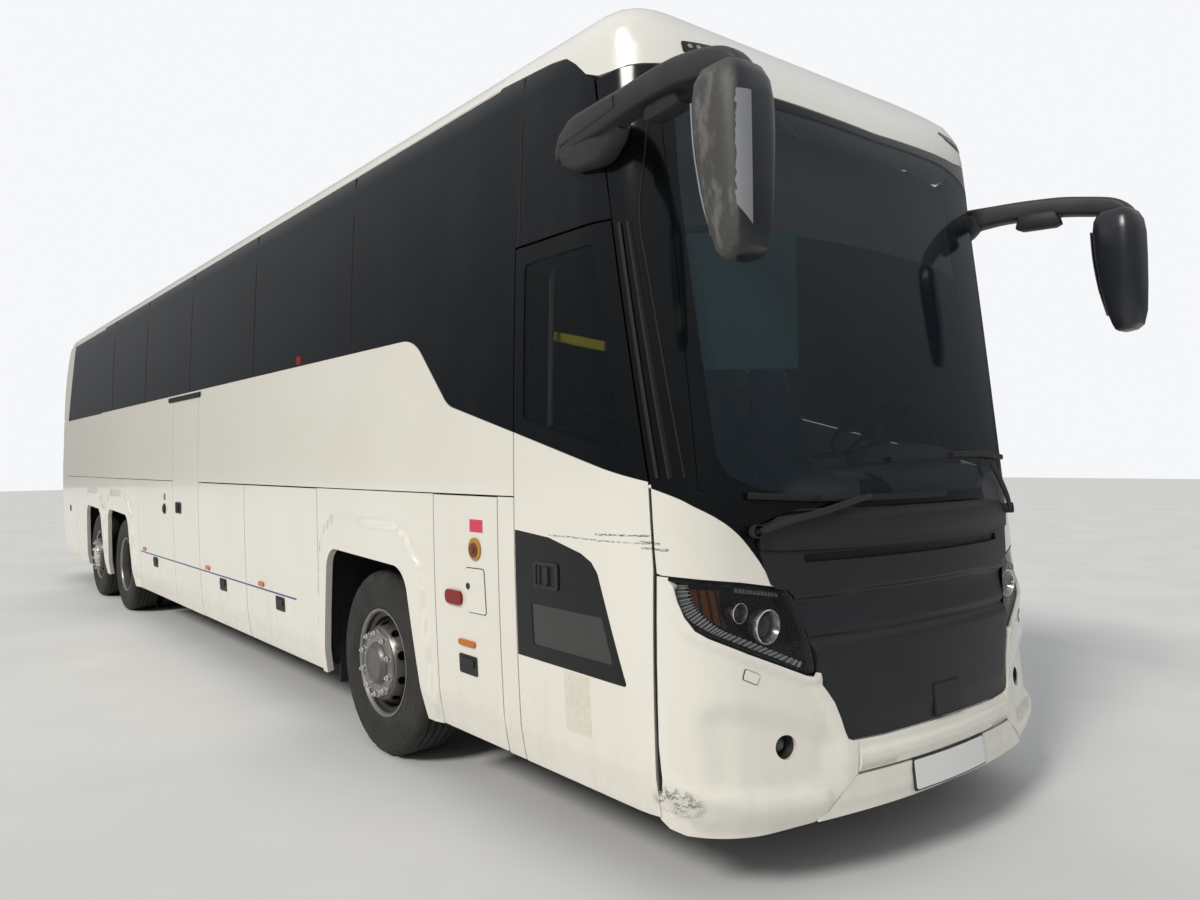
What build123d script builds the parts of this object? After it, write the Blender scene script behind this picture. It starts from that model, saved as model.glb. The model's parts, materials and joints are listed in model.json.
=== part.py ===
# Three-axle touring coach, 13.7 m long, with two passenger doors on its right side.
# Millimetres. +X is forward, +Y is the coach's left side, +Z is up, and the ground is z = 0.
# The origin lies under the middle of the overall box, which reaches from the mirrors to the rear bumper.
from build123d import *
from math import atan2, cos, degrees, radians, sin, sqrt
import os

os.makedirs("parts", exist_ok=True)

# Overall lengths, from the mirrors back to the rear bumper
MIRROR_REACH = 270
FRONT_OVERHANG = 2700
WHEELBASE = 6600
TAG_SPACING = 1500
REAR_OVERHANG = 2870
OVERALL = MIRROR_REACH + FRONT_OVERHANG + WHEELBASE + TAG_SPACING + REAR_OVERHANG

FRONT_AXLE = OVERALL / 2 - MIRROR_REACH - FRONT_OVERHANG
DRIVE_AXLE = FRONT_AXLE - WHEELBASE
TAG_AXLE = DRIVE_AXLE - TAG_SPACING
NOSE = FRONT_AXLE + FRONT_OVERHANG
TAIL = TAG_AXLE - REAR_OVERHANG

# Heights
BUMPER_BOTTOM = 250
SKIRT_BOTTOM = 330
CHEEK_SEAM = 1226
SEAM_Z = 1475
WAIST_Z = 1500
BELT_Z = 2260
GLASS_TOP = 3300
ROOF_TOP = 3800
DOOR_TOP = 2550
MID_DOOR_TOP = 2205
CABIN_FLOOR_TOP = 1450
DRIVER_FLOOR_TOP = 1020
BAY_FLOOR_TOP = 420
STEP_TOP = 400

# Widths, wall thicknesses and gaps
HALF_WIDTH = 1275
MIRROR_HALF_SPAN = 1500
WALL = 45
GLASS = 20
FLOOR = 50
SEAM_GAP = 6
PANEL_GAP = 3
SEAT_GAP = 0.3
HINGE_ROLL = 4
ARCH_PROUD = 8
SIDE_REACH = HALF_WIDTH + 100
SIDE_INNER = HALF_WIDTH - 300

# Nose: a shallow arc in plan that leans back as it rises
NOSE_RADIUS = 2950
NOSE_CORNER = 420
NOSE_LEAN = 0.113
NOSE_HEIGHT = 600
NOSE_FACETS = 5
CORNER_FACETS = 5
PLAN_BASE = 200
TAIL_CORNER = 260
PLAN_MARGIN = 3

# Side seams, each measured from the axle that it stands by
FLAP_REAR = FRONT_AXLE + 719
FLAP_FRONT = FRONT_AXLE + 1313
DOOR_REAR = FRONT_AXLE + 1445
FRONT_ARCH_REAR = FRONT_AXLE - 797
LID_SPLIT = FRONT_AXLE - 2232
MID_DOOR_FRONT = FRONT_AXLE - 3463
MID_DOOR_REAR = FRONT_AXLE - 4309
REAR_ARCH_FRONT = DRIVE_AXLE + 869
REAR_ARCH_REAR = TAG_AXLE - 1480
DOME_REAR = FRONT_AXLE + 1270
GLASS_REAR = TAIL + 670
PILLAR_Y = HALF_WIDTH - 190
PANE_SEAMS = [GLASS_REAR, FRONT_AXLE - 5440, FRONT_AXLE - 3770, FRONT_AXLE - 2050, FRONT_AXLE - 310,
              DOOR_REAR, NOSE]

# Wheels
TYRE_RADIUS = 512
TYRE_WIDTH = 290
RIM_RADIUS = 286
WHEEL_FACE = 1235
WHEEL_SIDES = 20
TWIN_PITCH = 330
SPINDLE_RADIUS = 50
BEARING_GAP = 0.4
HUB_RADIUS = 118
KINGPIN_Y = 880
KINGPIN_RADIUS = 28
SINGLE_INNER = WHEEL_FACE - TYRE_WIDTH
TWIN_INNER = SINGLE_INNER - TWIN_PITCH
HUB_START = 110

# Underframe
RAIL_Y = 440
RAIL_WIDTH = 80
RAIL_BOTTOM = 660
RAIL_TOP = 860
HOUSE_TOP = 1200
HOUSE_INNER = 520
PLATE = 25
BULKHEAD = 40
BAY_HALF_WIDTH = HALF_WIDTH - 115
MID_STAIR_Y = -920

# Passenger door gear: an arm on a post swings each door out and along
ARM_LENGTH = 560
POST_Y = HALF_WIDTH - 155
POST_RADIUS = 25
ARM_HEIGHTS = (620, 1440)
ARM_DEPTH = 40
ARM_EYE = 30
DOOR_PIN_RADIUS = 12
FRONT_POST = FRONT_AXLE + 2080
MID_POST = FRONT_AXLE - 4212

RIGHT = -1
LEFT = 1
SIDES = (("left", LEFT), ("right", RIGHT))


def save(part, name):
    """Labels a finished piece and writes it."""
    part.label = name
    export_step(part, f"parts/{name}.step")


def block(x_from, x_to, y_from, y_to, z_from, z_to):
    """A plain rectangular solid between two corners."""
    with BuildPart(mode=Mode.PRIVATE) as solid:
        with BuildSketch(Plane.XY.offset(z_from)):
            with Locations(((x_from + x_to) / 2, (y_from + y_to) / 2)):
                Rectangle(x_to - x_from, y_to - y_from)
        extrude(amount=z_to - z_from)
    return solid.part


def side_prism(points, y_from, y_to, radii=None):
    """A solid drawn in side view as (x, z) that runs across from y_from to y_to.
    radii maps the number of a point to the radius that rounds it."""
    with BuildPart(mode=Mode.PRIVATE) as prism:
        with BuildSketch(Plane.XZ.offset(-y_to)) as outline:
            with BuildLine():
                Polyline(*points, close=True)
            make_face()
            for number, radius in (radii or {}).items():
                fillet(outline.vertices().sort_by_distance(points[number])[0], radius)
        extrude(amount=y_to - y_from)
    return prism.part


def front_prism(points, x_from, x_to):
    """A solid drawn in front view as (y, z) that runs forward from x_from to x_to."""
    with BuildPart(mode=Mode.PRIVATE) as prism:
        with BuildSketch(Plane.YZ.offset(x_from)):
            with BuildLine():
                Polyline(*points, close=True)
            make_face()
        extrude(amount=x_to - x_from)
    return prism.part


def upright(x, y, radius, z_from, z_to):
    """A vertical round bar."""
    with BuildPart(mode=Mode.PRIVATE) as bar:
        with BuildSketch(Plane.XY.offset(z_from)):
            with Locations((x, y)):
                Circle(radius)
        extrude(amount=z_to - z_from)
    return bar.part


def axle_bar(axle, hand, y_from, y_to, radius, sides=0):
    """A bar on an axle's line, on one side of the coach: round, or with flat sides."""
    with BuildPart(mode=Mode.PRIVATE) as bar:
        with BuildSketch(Plane.XZ.offset(-hand * y_from)):
            with Locations((axle, TYRE_RADIUS)):
                if sides:
                    RegularPolygon(radius, sides)
                else:
                    Circle(radius)
        extrude(amount=-hand * (y_to - y_from))
    return bar.part


def piece(start, *steps):
    """Builds a solid from a first one and (solid, mode) steps."""
    with BuildPart(mode=Mode.PRIVATE) as result:
        add(start)
        for solid, mode in steps:
            add(solid, mode=mode)
    return result.part


def joined(solids):
    """Several solids, kept in one node."""
    with BuildPart(mode=Mode.PRIVATE) as group:
        for solid in solids:
            add(solid)
    return group.part


# Body form
def arc_points(centre, radius, start, end, count):
    """Points on an arc, between two angles in degrees."""
    angles = [radians(start + (end - start) * number / count) for number in range(count + 1)]
    return [(centre[0] + radius * cos(angle), centre[1] + radius * sin(angle)) for angle in angles]


def bow_points(first, middle, last, count):
    """Points on the arc through three points."""
    with BuildLine(mode=Mode.PRIVATE) as line:
        bow = ThreePointArc(first, middle, last)
    return [((bow @ (number / count)).X, (bow @ (number / count)).Y) for number in range(count + 1)]


def nose_half(inset):
    """Plan of the nose from its middle round the corner to the left side, moved inwards by inset."""
    centre = NOSE + NOSE_LEAN * (NOSE_HEIGHT - PLAN_BASE) - NOSE_RADIUS
    corner_y = HALF_WIDTH + PLAN_MARGIN - NOSE_CORNER
    corner_x = centre + sqrt((NOSE_RADIUS - NOSE_CORNER) ** 2 - corner_y ** 2)
    turn = degrees(atan2(corner_y, corner_x - centre))
    front = arc_points((centre, 0), NOSE_RADIUS - inset, 0, turn, NOSE_FACETS)
    corner = arc_points((corner_x, corner_y), NOSE_CORNER - inset, turn, 90, CORNER_FACETS)
    return front + corner[1:]


# Half of the cross-section from below, as (distance from the middle, height): tucked skirt, bowed lower side
# up to the waist, leaning glass, cove, and half the crown
HALF_SECTION = [(1195, BUMPER_BOTTOM), (1222, 340),
                *bow_points((1248, 480), (1268, 950), (HALF_WIDTH, WAIST_Z), 2),
                *bow_points((HALF_WIDTH, WAIST_Z), (1258, 2400), (1215, GLASS_TOP), 3)[1:],
                (1199, 3345), *bow_points((1170, 3382), (600, 3699), (0, ROOF_TOP), 5)]
TAIL_PROFILE = [(TAIL + 150, BUMPER_BOTTOM), (TAIL, 800), (TAIL + 30, WAIST_Z)]
TAIL_BOW = bow_points((TAIL + 100, 2500), (TAIL + 270, 3130), (TAIL + 720, 3560), 4)
DOME_BOW = bow_points((DOME_REAR + 30, ROOF_TOP), (NOSE - 740, 3505), (NOSE - 200, 2960), 7)


def coach_form(inset):
    """The whole outer form, moved inwards by inset: plan, cross-section and side profile meet in it."""
    half_plan = HALF_WIDTH + PLAN_MARGIN - inset
    far = TAIL - 600
    lift = ROOF_TOP - PLAN_BASE + 200
    nose = nose_half(inset)
    corner = arc_points((TAIL + TAIL_CORNER, HALF_WIDTH + PLAN_MARGIN - TAIL_CORNER), TAIL_CORNER - inset,
                        90, 180, CORNER_FACETS)
    tail = [(NOSE + 400, half_plan), *corner]
    with BuildPart(mode=Mode.PRIVATE) as form:
        with BuildSketch(Plane.XY.offset(PLAN_BASE)):
            with BuildLine():
                Polyline(*nose, (far, half_plan), (far, -half_plan), *[(x, -y) for x, y in reversed(nose)][:-1],
                         close=True)
            make_face()
        extrude(amount=lift, dir=(-NOSE_LEAN, 0, 1))
        with BuildSketch(Plane.XY.offset(PLAN_BASE)):
            with BuildLine():
                Polyline(*tail, *[(x, -y) for x, y in reversed(tail)], close=True)
            make_face()
        extrude(amount=lift, mode=Mode.INTERSECT)
        with BuildSketch(Plane.YZ.offset(far)):
            with BuildLine():
                Polyline(*HALF_SECTION, *[(-y, z) for y, z in reversed(HALF_SECTION)][1:], close=True)
            make_face()
            offset(amount=-inset, kind=Kind.INTERSECTION)
        extrude(amount=OVERALL + 1200, mode=Mode.INTERSECT)
        with BuildSketch(Plane.XZ.offset(-SIDE_REACH)):
            with BuildLine():
                Polyline(*TAIL_PROFILE, *TAIL_BOW, (TAIL + 1500, ROOF_TOP), *DOME_BOW, (NOSE + 300, 2760),
                         (NOSE + 300, BUMPER_BOTTOM), close=True)
            make_face()
            offset(amount=-inset, kind=Kind.INTERSECTION)
        extrude(amount=2 * SIDE_REACH, mode=Mode.INTERSECT)
    return form.part


def shell(outer_inset, inner_inset):
    """A skin of the coach's form between two insets, made afresh for each group of panels."""
    return piece(coach_form(outer_inset), (coach_form(inner_inset), Mode.SUBTRACT))


inner_form = coach_form(WALL)
wall_shell = shell(0, WALL)
glass_shell = shell(0, GLASS)
raised_shell = shell(-ARCH_PROUD, WALL)


def side_span(hand):
    """The stretch of y that holds one side wall."""
    return (SIDE_INNER, SIDE_REACH) if hand == LEFT else (-SIDE_REACH, -SIDE_INNER)


def side_block(hand, x_from, x_to, z_from, z_to):
    """A rectangle in side view, across one side wall."""
    return block(x_from, x_to, *side_span(hand), z_from, z_to)


# Outlines in side view that several panels share
BELT_CORNERS = [(FRONT_AXLE + 500, BELT_Z), (FRONT_AXLE + 860, 1900), (FRONT_AXLE + 2420, 1518)]
BELT_RADII = {1: 300, 2: 180}
DOOR_LINE = [(FRONT_AXLE + 2300, SKIRT_BOTTOM), (FRONT_AXLE + 2284, CHEEK_SEAM),
             (FRONT_AXLE + 2256, 1550), (FRONT_AXLE + 2075, DOOR_TOP)]
PILLAR_TOP = (FRONT_AXLE + 1970, 3140)
DOME_EDGE = [(DOME_REAR, GLASS_TOP), (FRONT_AXLE + 1740, GLASS_TOP), PILLAR_TOP, (NOSE + 100, 3045)]


def above_belt(hand, x_from):
    """Side glass zone: over the belt line, its falling sweep included, and under the dome's edge."""
    points = [(x_from, BELT_Z), *BELT_CORNERS[:2], DOOR_LINE[2], DOOR_LINE[3], PILLAR_TOP,
              DOME_EDGE[1], (x_from + 330, GLASS_TOP)]
    return side_prism(points, *side_span(hand), radii=BELT_RADII)


def front_zone():
    """Everything ahead of the line that the door's front edge follows, up to the dome's edge."""
    base = BUMPER_BOTTOM - 50
    points = [(DOOR_LINE[0][0], base), *DOOR_LINE[1:], PILLAR_TOP, DOME_EDGE[3], (NOSE + 100, base)]
    return side_prism(points, -SIDE_REACH, SIDE_REACH)


def door_zone(shrink, top_shrink):
    """The front door's outline in side view, made smaller by its gap."""
    points = [(DOOR_REAR + shrink, SKIRT_BOTTOM), *[(x - shrink, z) for x, z in DOOR_LINE[:3]],
              (DOOR_LINE[3][0] - shrink, DOOR_TOP - top_shrink), (DOOR_REAR + shrink, DOOR_TOP - top_shrink)]
    return side_prism(points, -SIDE_REACH, -SIDE_INNER + 150)


# Wheels: tyres as closed rings, rims as dished discs with their hubs
def flat_revolve(points, axle, start, hand, sides, open_bands=None):
    """Turns a closed profile of (distance outwards, radius) about an axle line, in flats whose middles have
    the stated radius. open_bands numbers a front and a back edge of the profile: every second flat between
    them is a hand hole."""
    reach = 1 / cos(radians(180 / sides))

    def corner(point, number):
        angle = radians((number + 0.5) * 360 / sides)
        return (axle + point[1] * reach * sin(angle), hand * (start + point[0]),
                TYRE_RADIUS + point[1] * reach * cos(angle))

    edges = list(zip(points, points[1:] + points[:1]))
    outlines = []
    for number, (first, second) in enumerate(edges):
        radii = (first[1], second[1])
        if radii == (0, 0):
            continue
        if 0 in radii:
            rim_point = first if first[1] else second
            outlines.append([corner(rim_point, flat) for flat in range(sides)])
            continue
        step = 2 if number in (open_bands or ()) else 1
        for flat in range(step - 1, sides, step):
            outlines.append([corner(first, flat), corner(first, flat + 1), corner(second, flat + 1),
                             corner(second, flat)])
    if open_bands:
        (front_far, front_near), (back_near, back_far) = (edges[number] for number in open_bands)
        for flat in range(0, sides, 2):
            for front, back in ((front_far, back_far), (front_near, back_near)):
                outlines.append([corner(front, flat), corner(front, flat + 1), corner(back, flat + 1),
                                 corner(back, flat)])
            for side in (flat, flat + 1):
                outlines.append([corner(point, side) for point in (front_far, front_near, back_near, back_far)])
    faces = [Face(Wire.make_polygon(outline)) for outline in outlines]
    solid = Solid(Shell(faces))
    if solid.volume < 0:
        # The shell closed facing inwards: it is sewn again from another flat
        solid = Solid(Shell(faces[sides:] + faces[:sides]))
    return solid


def tyre(axle, inner_face, hand):
    """Radial tyre: bead, bulging sidewall, shoulder and tread."""
    half = [(34, RIM_RADIUS), (8, RIM_RADIUS + 50), (0, RIM_RADIUS + 110), (14, TYRE_RADIUS - 30),
            (46, TYRE_RADIUS)]
    far_half = [(TYRE_WIDTH - along, radius) for along, radius in reversed(half)]
    return flat_revolve(half + far_half, axle, inner_face, hand, WHEEL_SIDES)


# Rim profiles: distance outwards from the tyre's inner face, radius
RIM_LIP = RIM_RADIUS - SEAT_GAP
RIM_BARREL = [(20, 298), (28, RIM_LIP), (TYRE_WIDTH - 28, RIM_LIP), (TYRE_WIDTH - 20, 298),
              (TYRE_WIDTH - 28, 272), (214, 238)]
RIM_BACK = [(90, 238), (75, 272)]
HUB_BORE = SPINDLE_RADIUS + BEARING_GAP
CONVEX_DISC = 300
DEEP_DISC = -6
DISC = 14
HUB_CAP = 60
SINGLE_HUB = 332
DRIVE_HUB = 215
DRIVE_HUB_START = -230


def hub(disc, start, end):
    """Hub profile from the disc's outer face round its cap and blind bore to the disc's inner face."""
    return [(disc, HUB_RADIUS), (end, HUB_RADIUS - 18), (end, 0), (end - HUB_CAP, 0), (end - HUB_CAP, HUB_BORE),
            (start, HUB_BORE), (start, HUB_RADIUS), (disc - DISC, HUB_RADIUS)]


def convex_rim(axle, inner_face, hand):
    """Rim whose disc bulges outwards past the tyre's face, with hand holes in its cone."""
    cone = [(228, 230), (278, 206), (CONVEX_DISC, 186)]
    back = [(CONVEX_DISC - DISC, 182), (266, 194), (214, 222), (198, 238)]
    points = RIM_BARREL + cone + hub(CONVEX_DISC, HUB_START, SINGLE_HUB) + back + RIM_BACK
    front_edge = points.index(cone[0])
    return flat_revolve(points, axle, inner_face, hand, WHEEL_SIDES, (front_edge, points.index(back[1])))


def deep_rim(axle, inner_face, hand, start, end):
    """Rim whose disc is dished inwards, for the outer wheel of a pair."""
    cone = [(110, 238), (72, 226), (22, 204), (DEEP_DISC, 186)]
    back = [(DEEP_DISC - DISC, 190), (6, 214), (52, 236)]
    points = RIM_BARREL + cone + hub(DEEP_DISC, start, end) + back + RIM_BACK
    return flat_revolve(points, axle, inner_face, hand, WHEEL_SIDES,
                        (points.index(cone[1]), points.index(back[1])))


def inner_twin_rim(axle, inner_face, hand, disc, spigot):
    """Plain rim of the inner wheel of a pair; its disc lies against the outer one and rides on the hub."""
    disc_back = [(disc, spigot), (disc - DISC, spigot), (disc - DISC, 186), (214, 222), (198, 238)]
    points = RIM_BARREL + [(228, 230), (disc, 186)] + disc_back + RIM_BACK
    return flat_revolve(points, axle, inner_face, hand, WHEEL_SIDES)


for side_name, hand in SIDES:
    for axle_name, axle in (("front", FRONT_AXLE), ("tag", TAG_AXLE)):
        save(joined([tyre(axle, SINGLE_INNER, hand)]), f"tyre_{axle_name}_{side_name}")
        save(joined([convex_rim(axle, SINGLE_INNER, hand)]), f"rim_{axle_name}_{side_name}")
    save(joined([tyre(DRIVE_AXLE, SINGLE_INNER, hand), tyre(DRIVE_AXLE, TWIN_INNER, hand)]),
         f"tyres_drive_{side_name}")
    twin_disc = TWIN_PITCH + DEEP_DISC - DISC - SEAT_GAP
    save(joined([deep_rim(DRIVE_AXLE, SINGLE_INNER, hand, DRIVE_HUB_START, DRIVE_HUB),
                 inner_twin_rim(DRIVE_AXLE, TWIN_INNER, hand, twin_disc, HUB_RADIUS + SEAT_GAP)]),
         f"rims_drive_{side_name}")


# Axles and knuckles
FIST_HALF = 57
EAR = 35
BEAM_Z = TYRE_RADIUS
BEAM_BOTTOM = BEAM_Z - FIST_HALF
BEAM_TOP = BEAM_Z + FIST_HALF
PAD = 20
COLLAR_SIDES = 12
SINGLE_HUB_FACE = SINGLE_INNER + HUB_START - SEAT_GAP
SINGLE_SPINDLE_END = SINGLE_INNER + SINGLE_HUB - HUB_CAP - 5

for side_name, hand in SIDES:
    pin_y = hand * KINGPIN_Y
    fork = []
    for z_from in (BEAM_BOTTOM - EAR, BEAM_TOP + SEAT_GAP):
        fork.append(block(FRONT_AXLE - 55, FRONT_AXLE + 55, *sorted((pin_y - hand * 45, pin_y + hand * 100)),
                          z_from, z_from + EAR - SEAT_GAP))
    fork.append(block(FRONT_AXLE - 55, FRONT_AXLE + 55, *sorted((pin_y + hand * 70, pin_y + hand * 110)),
                      BEAM_BOTTOM - EAR, BEAM_TOP + EAR))
    pin = upright(FRONT_AXLE, pin_y, KINGPIN_RADIUS, BEAM_BOTTOM - EAR, BEAM_TOP + EAR)
    stub = axle_bar(FRONT_AXLE, hand, KINGPIN_Y + 100, SINGLE_SPINDLE_END, SPINDLE_RADIUS)
    collar = axle_bar(FRONT_AXLE, hand, KINGPIN_Y + 100, SINGLE_HUB_FACE, 85, COLLAR_SIDES)
    save(joined([*fork, pin, stub, collar]), f"knuckle_{side_name}")


def spring_pads(axle, top):
    """Pads across a beam, under the air springs: the spring sits on top, and a jack lifts below."""
    return [block(axle - 90, axle + 90, *sorted((hand * (RAIL_Y - 60), hand * (RAIL_Y + 60))),
                  BEAM_BOTTOM - PAD, top) for hand in (LEFT, RIGHT)]


front_beam = [block(FRONT_AXLE - 45, FRONT_AXLE + 45, -KINGPIN_Y - 45, KINGPIN_Y + 45, BEAM_BOTTOM, BEAM_TOP),
              *spring_pads(FRONT_AXLE, BEAM_TOP)]
king_bores = [(upright(FRONT_AXLE, hand * KINGPIN_Y, KINGPIN_RADIUS + BEARING_GAP, BEAM_BOTTOM, BEAM_TOP),
               Mode.SUBTRACT) for hand in (LEFT, RIGHT)]
save(piece(joined(front_beam), *king_bores), "front_axle")

CASING = [(-650, 0), (-650, 75), (-260, 80), (-150, 200), (150, 200), (260, 80), (650, 75), (650, 0)]
drive_beam = [flat_revolve(CASING, DRIVE_AXLE, 0, LEFT, 12), *spring_pads(DRIVE_AXLE, BEAM_Z + 80)]
for hand in (LEFT, RIGHT):
    drive_beam.append(axle_bar(DRIVE_AXLE, hand, 640, SINGLE_INNER + DRIVE_HUB_START - SEAT_GAP, 70,
                               COLLAR_SIDES))
    drive_beam.append(axle_bar(DRIVE_AXLE, hand, 640, SINGLE_INNER + DRIVE_HUB - HUB_CAP - 5, SPINDLE_RADIUS))
save(joined(drive_beam), "drive_axle")

tag_beam = [block(TAG_AXLE - 50, TAG_AXLE + 50, -KINGPIN_Y, KINGPIN_Y, BEAM_BOTTOM, BEAM_TOP),
            *spring_pads(TAG_AXLE, BEAM_TOP)]
for hand in (LEFT, RIGHT):
    tag_beam.append(axle_bar(TAG_AXLE, hand, KINGPIN_Y - 10, SINGLE_HUB_FACE, 85, COLLAR_SIDES))
    tag_beam.append(axle_bar(TAG_AXLE, hand, KINGPIN_Y, SINGLE_SPINDLE_END, SPINDLE_RADIUS))
save(joined(tag_beam), "tag_axle")


def bellows(x, y, z_from, z_to):
    """An air spring between its pad and the rail."""
    with BuildPart(mode=Mode.PRIVATE) as spring:
        with BuildSketch(Plane.XY.offset(z_from)):
            with Locations((x, y)):
                RegularPolygon(60, 12)
        extrude(amount=z_to - z_from)
    return spring.part


save(joined([bellows(axle, hand * RAIL_Y, seat, RAIL_BOTTOM) for hand in (LEFT, RIGHT)
             for axle, seat in ((FRONT_AXLE, BEAM_TOP), (DRIVE_AXLE, BEAM_Z + 80), (TAG_AXLE, BEAM_TOP))]),
     "air_springs")


# Underframe: rails over the axles, bulkheads and the luggage bay's floor between them
# Rails run from x to x at their y; cross members stand at x and reach from y to the left rail
FRONT_CROSS = FRONT_AXLE + 900
STUB_Y = -150
RAILS = [(FRONT_ARCH_REAR - BULKHEAD, NOSE - 420, RAIL_Y), (FRONT_ARCH_REAR - BULKHEAD, FRONT_CROSS + 30, -RAIL_Y),
         (FRONT_CROSS - 30, NOSE - 420, STUB_Y), (TAIL + 500, REAR_ARCH_FRONT + BULKHEAD, RAIL_Y),
         (TAIL + 500, REAR_ARCH_FRONT + BULKHEAD, -RAIL_Y)]
CROSS_MEMBERS = [(NOSE - 480, STUB_Y), (FRONT_CROSS, -RAIL_Y), (TAG_AXLE - 900, -RAIL_Y), (DRIVE_AXLE + 700, -RAIL_Y)]
frame_steps = [block(x_from, x_to, y - RAIL_WIDTH / 2, y + RAIL_WIDTH / 2, RAIL_BOTTOM, RAIL_TOP)
               for x_from, x_to, y in RAILS]
frame_steps += [block(x - 30, x + 30, y, RAIL_Y, RAIL_BOTTOM, RAIL_TOP) for x, y in CROSS_MEMBERS]
for x_from in (FRONT_ARCH_REAR, REAR_ARCH_FRONT - BULKHEAD):
    frame_steps.append(piece(block(x_from, x_from + BULKHEAD, -HALF_WIDTH, HALF_WIDTH, BAY_FLOOR_TOP - FLOOR,
                                   CABIN_FLOOR_TOP - FLOOR), (inner_form, Mode.INTERSECT)))
frame_steps.append(block(REAR_ARCH_FRONT - BULKHEAD, FRONT_ARCH_REAR + BULKHEAD, -BAY_HALF_WIDTH, BAY_HALF_WIDTH,
                         BAY_FLOOR_TOP - FLOOR, BAY_FLOOR_TOP))
stair_well = block(MID_DOOR_REAR, MID_DOOR_FRONT, -HALF_WIDTH, MID_STAIR_Y + FLOOR, 0, BAY_FLOOR_TOP + 1)
save(piece(joined(frame_steps), (stair_well, Mode.SUBTRACT)), "underframe")


def wheel_house(hand, x_from, x_to):
    """Sheet box over the wheels, open outwards and downwards."""
    return piece(block(x_from, x_to, *sorted((hand * HOUSE_INNER, hand * HALF_WIDTH)), BAY_FLOOR_TOP, HOUSE_TOP),
                 (block(x_from + PLATE, x_to - PLATE, *sorted((hand * (HOUSE_INNER + PLATE), hand * SIDE_REACH)),
                        BAY_FLOOR_TOP - 10, HOUSE_TOP - PLATE), Mode.SUBTRACT),
                 (block(x_from + PLATE, x_to - PLATE, *sorted((0, hand * SIDE_REACH)), BAY_FLOOR_TOP - 10,
                        RAIL_BOTTOM), Mode.SUBTRACT),
                 (inner_form, Mode.INTERSECT))


HOUSE_SPANS = [(FRONT_ARCH_REAR + BULKHEAD, FRONT_AXLE + 700), (TAG_AXLE - 860, REAR_ARCH_FRONT - BULKHEAD)]
save(joined([wheel_house(hand, *span) for hand in (LEFT, RIGHT) for span in HOUSE_SPANS]), "wheel_houses")
MUDFLAP = 12
mudflap_y = (SINGLE_INNER - 10, BAY_HALF_WIDTH)
save(joined([block(x_from + PLATE, x_from + PLATE + MUDFLAP, *sorted((hand * mudflap_y[0], hand * mudflap_y[1])),
                   BUMPER_BOTTOM + 10, RAIL_BOTTOM + 60) for hand in (LEFT, RIGHT) for x_from, _ in HOUSE_SPANS]),
     "mudflaps")
save(block(TAIL + 420, TAIL + 1560, SEAT_GAP + RAIL_WIDTH / 2 - RAIL_Y, RAIL_Y - RAIL_WIDTH / 2 - SEAT_GAP,
           520, 1340), "engine")


# Floors and steps
def steps(x_from, x_to, landing, rises, top, tread):
    """A flight that climbs inwards from the right side: a landing, then equal rises, the last one under
    the floor that it leads to."""
    rise = (top - STEP_TOP) / rises
    upper = [(-BAY_HALF_WIDTH, STEP_TOP), (landing, STEP_TOP)]
    for number in range(1, rises):
        upper.append((landing + (number - 1) * tread, STEP_TOP + number * rise))
        upper.append((landing + number * tread, STEP_TOP + number * rise))
    upper.append((upper[-1][0], top - FLOOR - SEAT_GAP))
    lower = [(y + FLOOR, z - FLOOR) for y, z in upper[1:-1]]
    lower.append((upper[-1][0] + FLOOR, top - FLOOR - SEAT_GAP))
    return front_prism(upper + lower[::-1] + [(-BAY_HALF_WIDTH, STEP_TOP - FLOOR)], x_from, x_to)


FRONT_STAIR_Y = -850
FRONT_TREAD = 300
FRONT_RISES = 3
MID_TREAD = 230
MID_RISES = 4
DRIVER_EDGE_Y = FRONT_STAIR_Y + (FRONT_RISES - 1) * FRONT_TREAD
MID_STAIR_END = MID_STAIR_Y + (MID_RISES - 1) * MID_TREAD
CABIN_FRONT = FRONT_AXLE + 1250
AISLE_TREAD = 150
aisle_rise = (CABIN_FLOOR_TOP - DRIVER_FLOOR_TOP) / 3
floor_span = (CABIN_FLOOR_TOP - FLOOR, CABIN_FLOOR_TOP)
floor_pieces = [
    block(TAIL + 300, MID_DOOR_REAR, -BAY_HALF_WIDTH, BAY_HALF_WIDTH, *floor_span),
    block(MID_DOOR_FRONT, CABIN_FRONT, -BAY_HALF_WIDTH, BAY_HALF_WIDTH, *floor_span),
    block(MID_DOOR_REAR + PANEL_GAP, MID_DOOR_FRONT - PANEL_GAP, MID_STAIR_END, BAY_HALF_WIDTH, *floor_span),
    steps(MID_DOOR_REAR + PANEL_GAP, MID_DOOR_FRONT - PANEL_GAP, MID_STAIR_Y, MID_RISES, CABIN_FLOOR_TOP, MID_TREAD),
    piece(steps(DOOR_REAR + 20, NOSE - 200, FRONT_STAIR_Y, FRONT_RISES, DRIVER_FLOOR_TOP, FRONT_TREAD),
          (coach_form(WALL + 25), Mode.INTERSECT))]
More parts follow.
